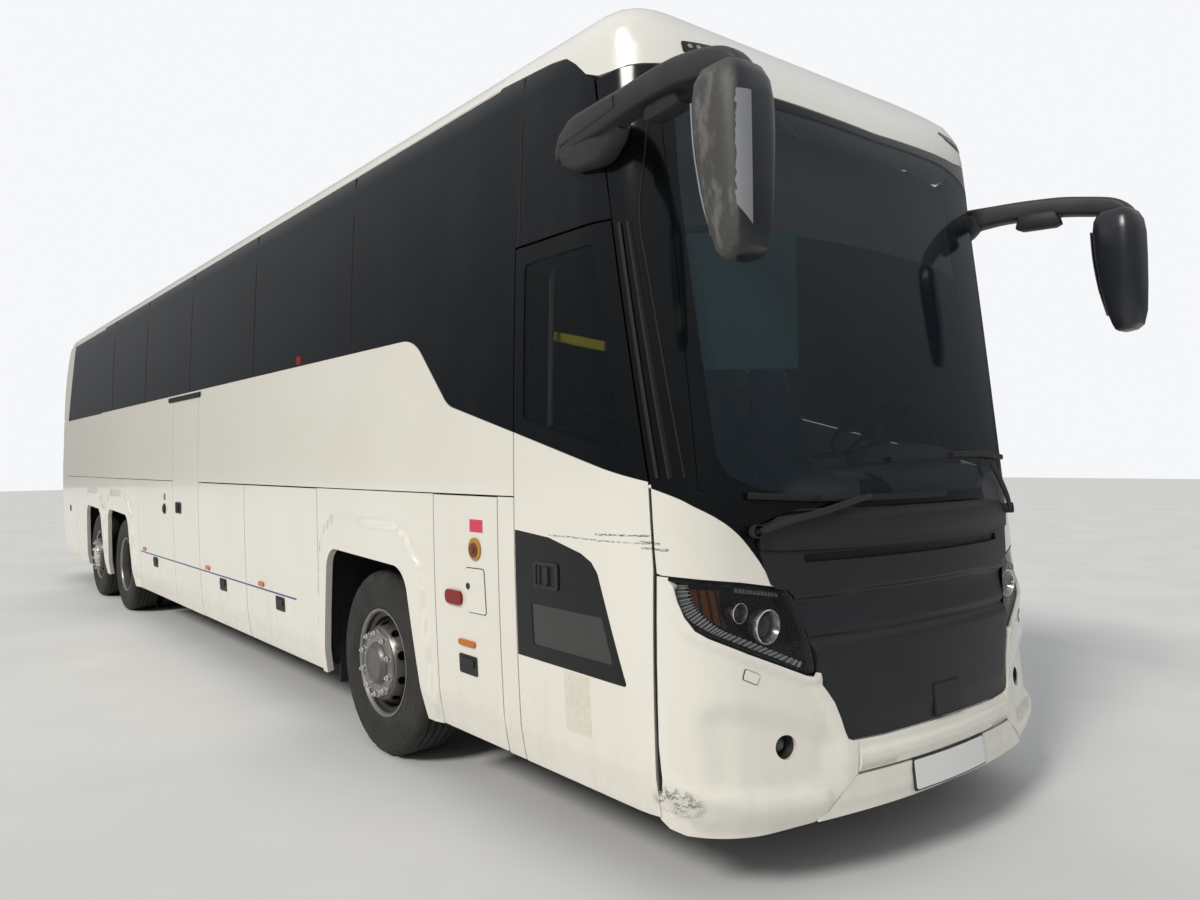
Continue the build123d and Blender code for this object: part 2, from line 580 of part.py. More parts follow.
platform = [
    block(CABIN_FRONT - FLOOR, CABIN_FRONT, DRIVER_EDGE_Y, BAY_HALF_WIDTH, DRIVER_FLOOR_TOP - FLOOR,
          CABIN_FLOOR_TOP - FLOOR - SEAT_GAP),
    piece(block(CABIN_FRONT - FLOOR, NOSE - 200, DRIVER_EDGE_Y, BAY_HALF_WIDTH, DRIVER_FLOOR_TOP - FLOOR,
                DRIVER_FLOOR_TOP), (inner_form, Mode.INTERSECT)),
    side_prism([(CABIN_FRONT + SEAT_GAP, DRIVER_FLOOR_TOP), (CABIN_FRONT + 2 * AISLE_TREAD, DRIVER_FLOOR_TOP),
                (CABIN_FRONT + 2 * AISLE_TREAD, DRIVER_FLOOR_TOP + aisle_rise),
                (CABIN_FRONT + AISLE_TREAD, DRIVER_FLOOR_TOP + aisle_rise),
                (CABIN_FRONT + AISLE_TREAD, DRIVER_FLOOR_TOP + 2 * aisle_rise),
                (CABIN_FRONT + SEAT_GAP, DRIVER_FLOOR_TOP + 2 * aisle_rise)], DRIVER_EDGE_Y, -DRIVER_EDGE_Y)]
save(joined([*floor_pieces, joined(platform)]), "cabin_floor")


# Lower side panels
def arch_outline(axle, grow):
    """Rounded trapezoid of a wheel opening, grown outwards for its raised border."""
    base = BUMPER_BOTTOM - 60
    return side_prism([(axle - 755 - 0.4 * grow, base), (axle - 600 - 0.7 * grow, 1120 + grow),
                       (axle + 420 + 0.7 * grow, 1080 + grow), (axle + 615 + 0.4 * grow, base)],
                      -SIDE_REACH, SIDE_REACH, radii={1: 140 + grow, 2: 160 + grow})


def arch_panel(hand, x_from, x_to, axles):
    """A lower side panel with raised, open wheel arches."""
    borders = [(piece(raised_shell, (arch_outline(axle, 190), Mode.INTERSECT)), Mode.ADD) for axle in axles]
    openings = [(arch_outline(axle, 0), Mode.SUBTRACT) for axle in axles]
    return piece(wall_shell, *borders, (side_block(hand, x_from, x_to, SKIRT_BOTTOM, SEAM_Z), Mode.INTERSECT),
                 *openings)


def wall_panel(*limits):
    """The side wall inside every given zone."""
    return piece(wall_shell, *[(limit, Mode.INTERSECT) for limit in limits])


save(joined([arch_panel(hand, FRONT_ARCH_REAR, FLAP_REAR, [FRONT_AXLE]) for hand in (LEFT, RIGHT)]),
     "front_arch_panels")
save(joined([arch_panel(hand, REAR_ARCH_REAR, REAR_ARCH_FRONT, [DRIVE_AXLE, TAG_AXLE]) for hand in (LEFT, RIGHT)]),
     "rear_arch_panels")
save(joined([wall_panel(side_block(hand, TAIL - 50, REAR_ARCH_REAR, SKIRT_BOTTOM, SEAM_Z))
             for hand in (LEFT, RIGHT)]), "rear_corners")
ahead = front_zone()
entrance_post = wall_panel(side_block(RIGHT, FLAP_FRONT, DOOR_REAR, SKIRT_BOTTOM, SEAM_Z))
door_panel = wall_panel(side_block(RIGHT, REAR_ARCH_FRONT, MID_DOOR_REAR, SKIRT_BOTTOM, SEAM_Z))
driver_panel = piece(wall_shell, (side_block(LEFT, FLAP_REAR, NOSE, SKIRT_BOTTOM, SEAM_Z), Mode.INTERSECT),
                     (ahead, Mode.SUBTRACT))
save(joined([entrance_post, door_panel, driver_panel]), "side_panels")


# Hinged lids, each rolled round its hinge along the top edge
def lid(zone, hinge_z):
    """A lid cut from the wall, with the outer top edge rounded about its hinge line."""
    with BuildPart(mode=Mode.PRIVATE) as panel:
        add(wall_shell)
        add(zone, mode=Mode.INTERSECT)
        top = panel.edges().filter_by(lambda edge: abs(edge.center().Z - hinge_z) < 0.01)
        fillet(top.sort_by(lambda edge: -edge.length)[:2].sort_by(
            lambda edge: edge.center().X - abs(edge.center().Y))[0], HINGE_ROLL)
    return panel.part


def side_lid(hand, x_from, x_to):
    """A lower side lid with a gap all round it."""
    return lid(side_block(hand, x_from + SEAM_GAP, x_to - SEAM_GAP, SKIRT_BOTTOM + 2, SEAM_Z - SEAT_GAP),
               SEAM_Z - SEAT_GAP)


save(side_lid(RIGHT, LID_SPLIT, FRONT_ARCH_REAR), "luggage_lid_right_front")
save(side_lid(RIGHT, MID_DOOR_FRONT, LID_SPLIT), "luggage_lid_right_rear")
save(side_lid(RIGHT, FLAP_REAR, FLAP_FRONT), "service_flap")
LEFT_LID_COUNT = 3
left_lid_length = (FRONT_ARCH_REAR - REAR_ARCH_FRONT) / LEFT_LID_COUNT
for number in range(LEFT_LID_COUNT):
    start = REAR_ARCH_FRONT + number * left_lid_length
    save(side_lid(LEFT, start, start + left_lid_length), f"luggage_lid_left_{number + 1}")


# Upper walls under the side glass; a header bar bridges the middle door
def upper_wall(hand, x_from, x_to, z_from=SEAM_Z):
    """The wall between the seam and the belt line, with the nose and the glass cut away."""
    return piece(wall_shell, (side_block(hand, x_from, x_to, z_from, BELT_Z + 100), Mode.INTERSECT),
                 (above_belt(hand, TAIL - 50), Mode.SUBTRACT), (ahead, Mode.SUBTRACT))


save(joined([upper_wall(LEFT, TAIL - 50, NOSE), upper_wall(RIGHT, TAIL - 50, MID_DOOR_REAR),
             upper_wall(RIGHT, MID_DOOR_REAR + PANEL_GAP, MID_DOOR_FRONT - PANEL_GAP, MID_DOOR_TOP),
             upper_wall(RIGHT, MID_DOOR_FRONT, DOOR_REAR)]), "upper_walls")


# Roof, dome and tail
save(wall_panel(block(TAIL - 50, DOME_REAR, -SIDE_REACH, SIDE_REACH, GLASS_TOP, ROOF_TOP + 50)), "roof")
save(wall_panel(side_prism([*DOME_EDGE, (NOSE + 100, ROOF_TOP + 50), (DOME_REAR, ROOF_TOP + 50)],
                           -SIDE_REACH, SIDE_REACH)), "front_dome")

LID_HALF_WIDTH = 900
ENGINE_LID_BOTTOM = 800
ENGINE_LID_TOP = 1850
BUMPER_TOP_REAR = 780
REAR_WINDOW = (2380, 3120)
REAR_WINDOW_HALF = 900
rear_glass_zone = block(TAIL - 50, TAIL + 600, -REAR_WINDOW_HALF, REAR_WINDOW_HALF, *REAR_WINDOW)
tail_zone = side_prism([(TAIL - 50, BUMPER_TOP_REAR), (TAIL + 400, BUMPER_TOP_REAR), (TAIL + 400, BELT_Z),
                        (GLASS_REAR, BELT_Z), (GLASS_REAR + 330, GLASS_TOP), (TAIL - 50, GLASS_TOP)],
                       -SIDE_REACH, SIDE_REACH)
corner_zones = [(side_block(hand, TAIL - 50, REAR_ARCH_REAR, 0, BELT_Z), Mode.SUBTRACT) for hand in (LEFT, RIGHT)]
lid_opening = block(TAIL - 50, TAIL + 400, -LID_HALF_WIDTH, LID_HALF_WIDTH, 0, ENGINE_LID_TOP)
save(piece(wall_shell, (tail_zone, Mode.INTERSECT), *corner_zones, (rear_glass_zone, Mode.SUBTRACT),
           (lid_opening, Mode.SUBTRACT)), "rear_wall")
save(lid(block(TAIL - 50, TAIL + 400, SEAM_GAP - LID_HALF_WIDTH, LID_HALF_WIDTH - SEAM_GAP,
               ENGINE_LID_BOTTOM, ENGINE_LID_TOP - SEAT_GAP), ENGINE_LID_TOP - SEAT_GAP), "engine_lid")
save(wall_panel(block(TAIL - 50, TAIL + 400, -SIDE_INNER, SIDE_INNER, BUMPER_BOTTOM - 10, BUMPER_TOP_REAR)),
     "rear_bumper")

# Bonded glass: one pane between each two seams, and the rear window
door_opening = door_zone(0, 0)
panes = [piece(glass_shell, (rear_glass_zone, Mode.INTERSECT))]
for hand in (LEFT, RIGHT):
    glazed = piece(glass_shell, (above_belt(hand, GLASS_REAR), Mode.INTERSECT), (door_opening, Mode.SUBTRACT))
    for rear, front in zip(PANE_SEAMS, PANE_SEAMS[1:]):
        bay = side_block(hand, rear + PANEL_GAP / 2, front - PANEL_GAP / 2, SEAM_Z, ROOF_TOP)
        panes.append(piece(glazed, (bay, Mode.INTERSECT)))
save(joined(panes), "windows")


# Front: the windscreen, its pillars, the dark mask, cheeks, headlights and bumper share these outlines
REACH_BACK = NOSE - 1000
REACH_FRONT = NOSE + 100


def both_hands(points):
    """The same front-view outline on the right side and mirrored on the left."""
    return joined([front_prism([(hand * y, z) for y, z in points], REACH_BACK, REACH_FRONT)
                   for hand in (RIGHT, LEFT)])


# Half outlines as (distance from the middle, height)
SCREEN_BASE = 1445
SCREEN_CORNER = (PILLAR_Y, 1510)
SCREEN_FOOT = (900, SCREEN_BASE)
LAMP_TOP = 1130
MASK_CORNER = (835, LAMP_TOP + 20)
LAMP_CORNER = (835, LAMP_TOP)
CHEEK_TOP = [(SIDE_REACH, 1548), (1196, 1528), (PILLAR_Y, 1480), (1031, 1440), (899, 1272), MASK_CORNER]
LAMP = [LAMP_CORNER, (770, 1116), (710, 823), (963, 941), (1097, 1033), (1138, 1190)]
MASK_SIDE = [(770, 1116), (710, 823), (600, 660), (524, 567)]
BUMPER_SEAM = 550
SLOT = (740, 1255, 1282)
SLOT_DEPTH = 14

screen_zone = front_prism([(-PILLAR_Y, 1510), (-900, SCREEN_BASE), SCREEN_FOOT, SCREEN_CORNER,
                           (PILLAR_Y, ROOF_TOP), (-PILLAR_Y, ROOF_TOP)], REACH_BACK, REACH_FRONT)
cheek_zone = both_hands([*CHEEK_TOP, LAMP_CORNER, (1138, 1190), (SIDE_REACH, CHEEK_SEAM)])
lamp_zone = both_hands(LAMP)
mask_half = [SCREEN_CORNER, *CHEEK_TOP[2:], LAMP_CORNER, *MASK_SIDE]
mask_zone = front_prism([(-y, z) for y, z in mask_half] + mask_half[::-1] + [SCREEN_FOOT, (-900, SCREEN_BASE)],
                        REACH_BACK, REACH_FRONT)
pillar_zone = both_hands([(PILLAR_Y, 1480), (1196, 1528), (SIDE_REACH, 1548), (SIDE_REACH, ROOF_TOP),
                          (PILLAR_Y, ROOF_TOP)])
slot_cut = piece(shell(0, SLOT_DEPTH), (block(REACH_BACK, REACH_FRONT, -SLOT[0], SLOT[0], *SLOT[1:]),
                                        Mode.INTERSECT))
save(piece(glass_shell, (ahead, Mode.INTERSECT), (screen_zone, Mode.INTERSECT)), "windscreen")
save(piece(wall_shell, (ahead, Mode.INTERSECT), (mask_zone, Mode.INTERSECT), (slot_cut, Mode.SUBTRACT)),
     "front_mask")
save(wall_panel(ahead, cheek_zone), "front_cheeks")
save(wall_panel(ahead, lamp_zone), "headlights")
save(wall_panel(ahead, pillar_zone), "front_pillars")
bumper = piece(wall_shell, (ahead, Mode.INTERSECT),
               (block(REACH_BACK, REACH_FRONT, -SIDE_REACH, SIDE_REACH, 0, MASK_CORNER[1] + 90), Mode.INTERSECT),
               *[(zone, Mode.SUBTRACT) for zone in (cheek_zone, lamp_zone, mask_zone)])
seams = [-SIDE_REACH, -BUMPER_SEAM, BUMPER_SEAM, SIDE_REACH]
save(joined([piece(bumper, (block(REACH_BACK, REACH_FRONT, near + PANEL_GAP / 2, far - PANEL_GAP / 2, 0, WAIST_Z),
                            Mode.INTERSECT)) for near, far in zip(seams, seams[1:])]), "front_bumper")


# Passenger doors and the arms that carry them
def door_brackets(pin_x):
    """Ears on a door's inner face that hold the arms' pins."""
    solids = []
    for height in ARM_HEIGHTS:
        for z_from in (height - 30, height + ARM_DEPTH + SEAT_GAP):
            solids.append(block(pin_x - 30, pin_x + 30, 20 - HALF_WIDTH, 22 - POST_Y, z_from, z_from + 30 - SEAT_GAP))
        solids.append(upright(pin_x, -POST_Y, DOOR_PIN_RADIUS, height - 20, height + ARM_DEPTH + 20))
    return solids


def door_arm(post_x, pin_x):
    """A post on the step with two arms that reach the door's pins."""
    solids = [upright(post_x, -POST_Y, POST_RADIUS, STEP_TOP + SEAT_GAP, ARM_HEIGHTS[1] + 150)]
    bores = []
    for height in ARM_HEIGHTS:
        solids.append(block(*sorted((post_x, pin_x + (ARM_EYE - 8 if pin_x > post_x else 8 - ARM_EYE))), -POST_Y - 22,
                            -POST_Y + 22, height, height + ARM_DEPTH))
        bores.append((upright(pin_x, -POST_Y, DOOR_PIN_RADIUS + BEARING_GAP, height - 1, height + ARM_DEPTH + 1),
                      Mode.SUBTRACT))
    return piece(joined(solids), *bores)


door_shell = shell(0, WALL)
door_glass_shell = shell(0, GLASS)
door_limit = coach_form(0)
FRONT_PIN = FRONT_POST - ARM_LENGTH
MID_PIN = MID_POST + ARM_LENGTH
DOOR_FRAME = 70
PANE_BASE = 1750
PANE_FALL = 160
door_depth = (-SIDE_REACH, -SIDE_INNER + 150)
upper_pane = side_prism([(DOOR_REAR + DOOR_FRAME, PANE_BASE), (DOOR_LINE[2][0] - DOOR_FRAME - 20, PANE_BASE - PANE_FALL),
                         (DOOR_LINE[3][0] - DOOR_FRAME, DOOR_TOP - DOOR_FRAME),
                         (DOOR_REAR + DOOR_FRAME, DOOR_TOP - DOOR_FRAME)], *door_depth)
lower_pane = side_prism([(DOOR_REAR + 35, 800), (FRONT_AXLE + 2165, 800), (FRONT_AXLE + 1990, 1225),
                         (FRONT_AXLE + 1702, 1315), (DOOR_REAR + 35, 1325)], *door_depth, radii={2: 60})
front_leaf = piece(door_shell, (door_zone(SEAM_GAP, SEAM_GAP), Mode.INTERSECT), (upper_pane, Mode.SUBTRACT),
                   (lower_pane, Mode.SUBTRACT), *[(bracket, Mode.ADD) for bracket in door_brackets(FRONT_PIN)])
save(piece(front_leaf, (door_limit, Mode.INTERSECT)), "front_door")
save(joined([piece(door_glass_shell, (pane, Mode.INTERSECT)) for pane in (upper_pane, lower_pane)]),
     "front_door_glass")
save(door_arm(FRONT_POST, FRONT_PIN), "front_door_arm")

mid_zone = side_block(RIGHT, MID_DOOR_REAR + SEAM_GAP, MID_DOOR_FRONT - SEAM_GAP, SKIRT_BOTTOM,
                      MID_DOOR_TOP - SEAM_GAP)
mid_leaf = piece(door_shell, (mid_zone, Mode.INTERSECT), *[(bracket, Mode.ADD) for bracket in door_brackets(MID_PIN)])
save(piece(mid_leaf, (door_limit, Mode.INTERSECT)), "mid_door")
save(door_arm(MID_POST, MID_PIN), "mid_door_arm")


# Mirrors: swept arms that carry hanging heads
MIRROR_Y = MIRROR_HALF_SPAN - 125
MIRROR_X = NOSE + MIRROR_REACH - 115
HEAD_BOTTOM = 2230
HEAD_TOP = 2850
# Arm stations: x, distance from the middle, height, half height, half thickness
MIRROR_ARM = [(FRONT_AXLE + 1860, HALF_WIDTH - 105, 2830, 120, 40), (FRONT_AXLE + 2120, HALF_WIDTH + 15, 2880, 95, 40),
              (FRONT_AXLE + 2420, HALF_WIDTH + 70, 2915, 62, 36), (MIRROR_X - 40, MIRROR_Y, HEAD_TOP + 5, 58, 44)]
# Head stations: height, half length, half width
MIRROR_HEAD = [(HEAD_BOTTOM, 60, 80), (HEAD_BOTTOM + 60, 102, 118), (HEAD_TOP - 130, 115, 125), (HEAD_TOP, 62, 70)]


def eight_corners(middle, half_first, half_second):
    """A rectangle's outline about its middle, with its corners cut at 45 degrees."""
    cut = min(half_first, half_second) / 2
    near, far = half_first - cut, half_second - cut
    return [(middle[0] + first, middle[1] + second) for first, second in
            ((half_first, far), (near, half_second), (-near, half_second), (-half_first, far),
             (-half_first, -far), (-near, -half_second), (near, -half_second), (half_first, -far))]


def flat_loft(stations):
    """A loft with flat sides through (plane, outline) stations on planes that face the same way."""
    with BuildPart(mode=Mode.PRIVATE) as lofted:
        for plane, outline in stations:
            with BuildSketch(plane):
                with BuildLine():
                    Polyline(*outline, close=True)
                make_face()
        loft(ruled=True)
    return lofted.part


mirrors = []
body_seat = coach_form(-SEAT_GAP)
for hand in (LEFT, RIGHT):
    arm = flat_loft([(Plane.YZ.offset(x), eight_corners((hand * y, z), half_thick, half_height))
                     for x, y, z, half_height, half_thick in MIRROR_ARM])
    head = flat_loft([(Plane.XY.offset(z), eight_corners((MIRROR_X, hand * MIRROR_Y), half_length, half_width))
                      for z, half_length, half_width in MIRROR_HEAD])
    mirrors.append(piece(arm, (body_seat, Mode.SUBTRACT), (head, Mode.ADD)))
save(joined(mirrors), "mirrors")


# Wipers hug the windscreen, just proud of it
wiper_shell = piece(coach_form(-26), (coach_form(-SEAT_GAP), Mode.SUBTRACT))
WIPER = [(960, 1372), (925, 1372), (925, 1400), (260, 1570), (262, 1600), (960, 1410)]
save(piece(wiper_shell, (both_hands(WIPER), Mode.INTERSECT)), "wipers")


# Inside: dashboard, steering wheel and seats
dash_block = side_prism([(NOSE - 800, DRIVER_FLOOR_TOP), (NOSE - 760, 1480), (NOSE - 640, 1600), (NOSE - 330, 1520),
                         (NOSE - 100, 1430), (NOSE - 100, DRIVER_FLOOR_TOP)], -150, HALF_WIDTH)
dashboard = piece(dash_block, (inner_form, Mode.INTERSECT))
save(dashboard, "dashboard")

SEAT_PITCH = 780
SEAT_ROWS = 12


def seat(x, y_from, y_to, floor):
    """A high-backed seat in side view, on its plinth: cushion, raked back and headrest."""
    return side_prism([(x - 120, floor), (x + 120, floor), (x + 130, floor + 330), (x + 250, floor + 360),
                       (x + 260, floor + 450), (x - 150, floor + 420), (x - 330, floor + 1130),
                       (x - 410, floor + 1110), (x - 270, floor + 380)], y_from, y_to)


seats = [seat(FRONT_AXLE + 1560, 410, 890, DRIVER_FLOOR_TOP)]
for row in range(SEAT_ROWS):
    x = FRONT_AXLE + 700 - row * SEAT_PITCH
    seats.append(seat(x, 260, 1140, CABIN_FLOOR_TOP))
    if not MID_DOOR_REAR - 450 < x < MID_DOOR_FRONT + 450:
        seats.append(seat(x, -1140, -260, CABIN_FLOOR_TOP))
save(joined(seats), "seats")

WHEEL_CENTRE = (FRONT_AXLE + 1900, 650, 1790)
COLUMN_DIRECTION = Vector(-0.64, 0, 0.77)
COLUMN_LENGTH = 290
with BuildPart() as steering_wheel:
    with BuildSketch(Plane(origin=WHEEL_CENTRE, x_dir=(0, 1, 0), z_dir=COLUMN_DIRECTION)) as spokes:
        RegularPolygon(237, 16)
        RegularPolygon(210, 16, mode=Mode.SUBTRACT)
        Rectangle(430, 40)
        RegularPolygon(60, 8)
    extrude(amount=-28)
    with BuildSketch(Plane(origin=WHEEL_CENTRE, x_dir=(0, 1, 0), z_dir=COLUMN_DIRECTION).offset(-28)):
        RegularPolygon(35, 8)
    extrude(amount=-COLUMN_LENGTH)
    add(dashboard, mode=Mode.SUBTRACT)
save(steering_wheel.part, "steering_wheel")
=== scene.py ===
# Three-axle touring coach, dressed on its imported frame. Metres, +X forward, +Y the coach's left, +Z up.
import json
import math
import bpy
import numpy as np
from mathutils import Matrix, Vector
from mathutils.geometry import delaunay_2d_cdt

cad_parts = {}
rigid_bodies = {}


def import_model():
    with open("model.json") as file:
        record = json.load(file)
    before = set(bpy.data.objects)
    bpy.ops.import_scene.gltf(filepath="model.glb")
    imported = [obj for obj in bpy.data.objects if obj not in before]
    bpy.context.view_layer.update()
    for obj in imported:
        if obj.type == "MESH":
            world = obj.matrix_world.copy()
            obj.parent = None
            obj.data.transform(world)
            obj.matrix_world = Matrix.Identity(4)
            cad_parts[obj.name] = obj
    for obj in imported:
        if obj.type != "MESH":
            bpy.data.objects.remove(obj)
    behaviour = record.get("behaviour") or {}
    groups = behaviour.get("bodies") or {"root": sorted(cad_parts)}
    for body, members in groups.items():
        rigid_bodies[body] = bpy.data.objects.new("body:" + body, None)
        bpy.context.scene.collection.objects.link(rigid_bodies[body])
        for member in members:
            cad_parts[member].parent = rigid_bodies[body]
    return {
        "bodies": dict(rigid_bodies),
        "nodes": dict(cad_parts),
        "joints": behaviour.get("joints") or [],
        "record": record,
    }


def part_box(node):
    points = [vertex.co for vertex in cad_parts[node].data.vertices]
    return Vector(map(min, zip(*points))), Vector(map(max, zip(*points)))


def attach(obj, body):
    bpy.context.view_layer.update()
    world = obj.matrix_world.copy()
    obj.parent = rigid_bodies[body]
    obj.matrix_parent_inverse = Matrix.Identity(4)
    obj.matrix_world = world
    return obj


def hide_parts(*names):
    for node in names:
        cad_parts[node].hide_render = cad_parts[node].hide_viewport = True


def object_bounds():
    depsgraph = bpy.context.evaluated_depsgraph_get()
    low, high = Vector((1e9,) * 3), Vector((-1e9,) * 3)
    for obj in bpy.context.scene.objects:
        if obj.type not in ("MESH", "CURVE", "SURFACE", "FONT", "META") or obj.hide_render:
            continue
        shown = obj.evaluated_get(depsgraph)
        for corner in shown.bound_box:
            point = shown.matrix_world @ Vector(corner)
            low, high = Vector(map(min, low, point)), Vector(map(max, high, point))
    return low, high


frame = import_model()
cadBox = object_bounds()
print("frame loaded:", len(frame["nodes"]), "nodes")


def middleX(node):
    low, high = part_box(node)
    return (low.x + high.x) / 2


frontAxle = middleX("tyre_front_right")
driveAxle = middleX("tyres_drive_right")
tagAxle = middleX("tyre_tag_right")
tailX = cadBox[0].x
noseX = frontAxle + 2.700
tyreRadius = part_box("tyre_front_right")[1].z / 2
roofTop = cadBox[1].z
leftHand = 1
rightHand = -1
hands = (rightHand, leftHand)

# Camera and light
cameraPlace = {"eye": (8.774, -3.440, 1.634), "yaw": 141.539, "pitch": 0.564, "roll": -0.635,
               "focalPixels": 914.9, "imageWidth": 1200, "sensor": 36.0}
lighting = {"skyStrength": 0.62, "sunStrength": 2.05, "sunAngle": 14.0, "sunAim": (-0.18, 0.80, -0.62)}


def makeCamera(place):
    yaw, pitch, roll = (math.radians(place[key]) for key in ("yaw", "pitch", "roll"))
    ahead = Vector((math.cos(yaw) * math.cos(pitch), math.sin(yaw) * math.cos(pitch), math.sin(pitch)))
    level = Vector((math.sin(yaw), -math.cos(yaw), 0.0))
    above = level.cross(ahead)
    across = level * math.cos(roll) + above * math.sin(roll)
    upright = above * math.cos(roll) - level * math.sin(roll)
    data = bpy.data.cameras.new("viewCamera")
    data.sensor_width = place["sensor"]
    data.lens = place["focalPixels"] / place["imageWidth"] * place["sensor"]
    data.clip_end = 200.0
    camera = bpy.data.objects.new("viewCamera", data)
    camera.matrix_world = Matrix((
        (across.x, upright.x, -ahead.x, place["eye"][0]),
        (across.y, upright.y, -ahead.y, place["eye"][1]),
        (across.z, upright.z, -ahead.z, place["eye"][2]),
        (0, 0, 0, 1)))
    bpy.context.scene.collection.objects.link(camera)
    bpy.context.scene.camera = camera


makeCamera(cameraPlace)
bpy.context.scene.view_settings.view_transform = "Standard"


# Shader graphs
class Signal:
    # wraps a number or colour socket; sums on it add Math nodes
    def __init__(self, finish, socket):
        self.finish = finish
        self.socket = socket

    def sum(self, operation, *others):
        return self.finish.node("ShaderNodeMath", {"operation": operation}, dict(enumerate(others)))

    def __add__(self, other):
        return self.sum("ADD", self, other)

    def __sub__(self, other):
        return self.sum("SUBTRACT", self, other)

    def __rsub__(self, other):
        return self.sum("SUBTRACT", other, self)

    def __mul__(self, other):
        return self.sum("MULTIPLY", self, other)

    def __truediv__(self, other):
        return self.sum("DIVIDE", self, other)

    def __gt__(self, other):
        return self.sum("GREATER_THAN", self, other)

    __radd__ = __add__
    __rmul__ = __mul__

    def size(self):
        return self.sum("ABSOLUTE", self)

    def wave(self):
        return self.sum("SINE", self)

    def held(self):
        return self.finish.node("ShaderNodeMath", {"operation": "ADD", "use_clamp": True}, {0: self, 1: 0.0})

    def between(self, low, high):          # 0 at low, 1 at high, smooth
        return self.finish.node("ShaderNodeMapRange", {"interpolation_type": "SMOOTHSTEP"},
                                {"Value": self, "From Min": low, "From Max": high})


class Finish:
    def __init__(self, name):
        self.material = bpy.data.materials.new(name)
        self.material.use_nodes = True
        self.tree = self.material.node_tree
        self.tree.nodes.clear()

    def node(self, kind, settings=None, sockets=None, out=0):
        made = self.tree.nodes.new(kind)
        for key, value in (settings or {}).items():
            setattr(made, key, value)
        for key, value in (sockets or {}).items():
            if isinstance(value, Signal):
                self.tree.links.new(value.socket, made.inputs[key])
            else:
                made.inputs[key].default_value = value
        return Signal(self, made.outputs[out])

    def place(self):
        return self.node("ShaderNodeTexCoord", out="Object")

    def axes(self, vector):
        made = self.node("ShaderNodeSeparateXYZ", None, {"Vector": vector}).socket.node
        return [Signal(self, socket) for socket in made.outputs]

    def stretched(self, vector, scale):
        return self.node("ShaderNodeMapping", None, {"Vector": vector, "Scale": scale})

    def noise(self, vector, scale, detail=3.0, rough=0.5):
        return self.node("ShaderNodeTexNoise", None, {"Vector": vector, "Scale": scale, "Detail": detail,
                "Roughness": rough})

    def mixed(self, amount, first, second):
        first, second = [(*c, 1.0) if isinstance(c, tuple) and len(c) == 3 else c for c in (first, second)]
        return self.node("ShaderNodeMix", {"data_type": "RGBA"}, {0: amount, 6: first, 7: second}, out=2)

    def bump(self, height, strength, distance):
        return self.node("ShaderNodeBump", None, {"Height": height, "Strength": strength, "Distance": distance})

    def shine(self, **sockets):
        words = {key.replace("_", " "): value for key, value in sockets.items()}
        return self.node("ShaderNodeBsdfPrincipled", None, words)

    def done(self, shader):
        output = self.tree.nodes.new("ShaderNodeOutputMaterial")
        self.tree.links.new(shader.socket, output.inputs["Surface"])
        return self.material


def makeWorld(values):
    world = bpy.data.worlds.new("studio")
    bpy.context.scene.world = world
    world.use_nodes = True
    tree = world.node_tree
    tree.nodes.clear()
    path = tree.nodes.new("ShaderNodeLightPath")
    direction = tree.nodes.new("ShaderNodeTexCoord")
    split = tree.nodes.new("ShaderNodeSeparateXYZ")
    ramp = tree.nodes.new("ShaderNodeValToRGB")
    lit = tree.nodes.new("ShaderNodeBackground")
    seen = tree.nodes.new("ShaderNodeBackground")
    choose = tree.nodes.new("ShaderNodeMixShader")
    output = tree.nodes.new("ShaderNodeOutputWorld")
    ramp.color_ramp.elements.new(0.22)
    for element, (place, shade) in zip(ramp.color_ramp.elements, ((0.0, 0.20), (0.22, 0.42), (0.60, 1.0))):
        element.position = place
        element.color = (shade * 0.98, shade, shade * 1.03, 1)
    seen.inputs["Color"].default_value = (0.92, 0.93, 0.95, 1)
    seen.inputs["Strength"].default_value = 1.0
    lit.inputs["Strength"].default_value = values["skyStrength"]
    tree.links.new(direction.outputs["Generated"], split.inputs[0])
    tree.links.new(split.outputs["Z"], ramp.inputs[0])
    tree.links.new(ramp.outputs["Color"], lit.inputs["Color"])
    tree.links.new(path.outputs["Is Camera Ray"], choose.inputs[0])
    tree.links.new(lit.outputs[0], choose.inputs[1])
    tree.links.new(seen.outputs[0], choose.inputs[2])
    tree.links.new(choose.outputs[0], output.inputs["Surface"])


def makeSun(values):
    sun = bpy.data.lights.new("keySun", "SUN")
    sun.energy = values["sunStrength"]
    sun.angle = math.radians(values["sunAngle"])
    sun.color = (1.0, 0.97, 0.91)
    lamp = bpy.data.objects.new("keySun", sun)
    lamp.rotation_euler = Vector(values["sunAim"]).to_track_quat("-Z", "Y").to_euler()
    bpy.context.scene.collection.objects.link(lamp)


makeWorld(lighting)
makeSun(lighting)
print("camera and light made")


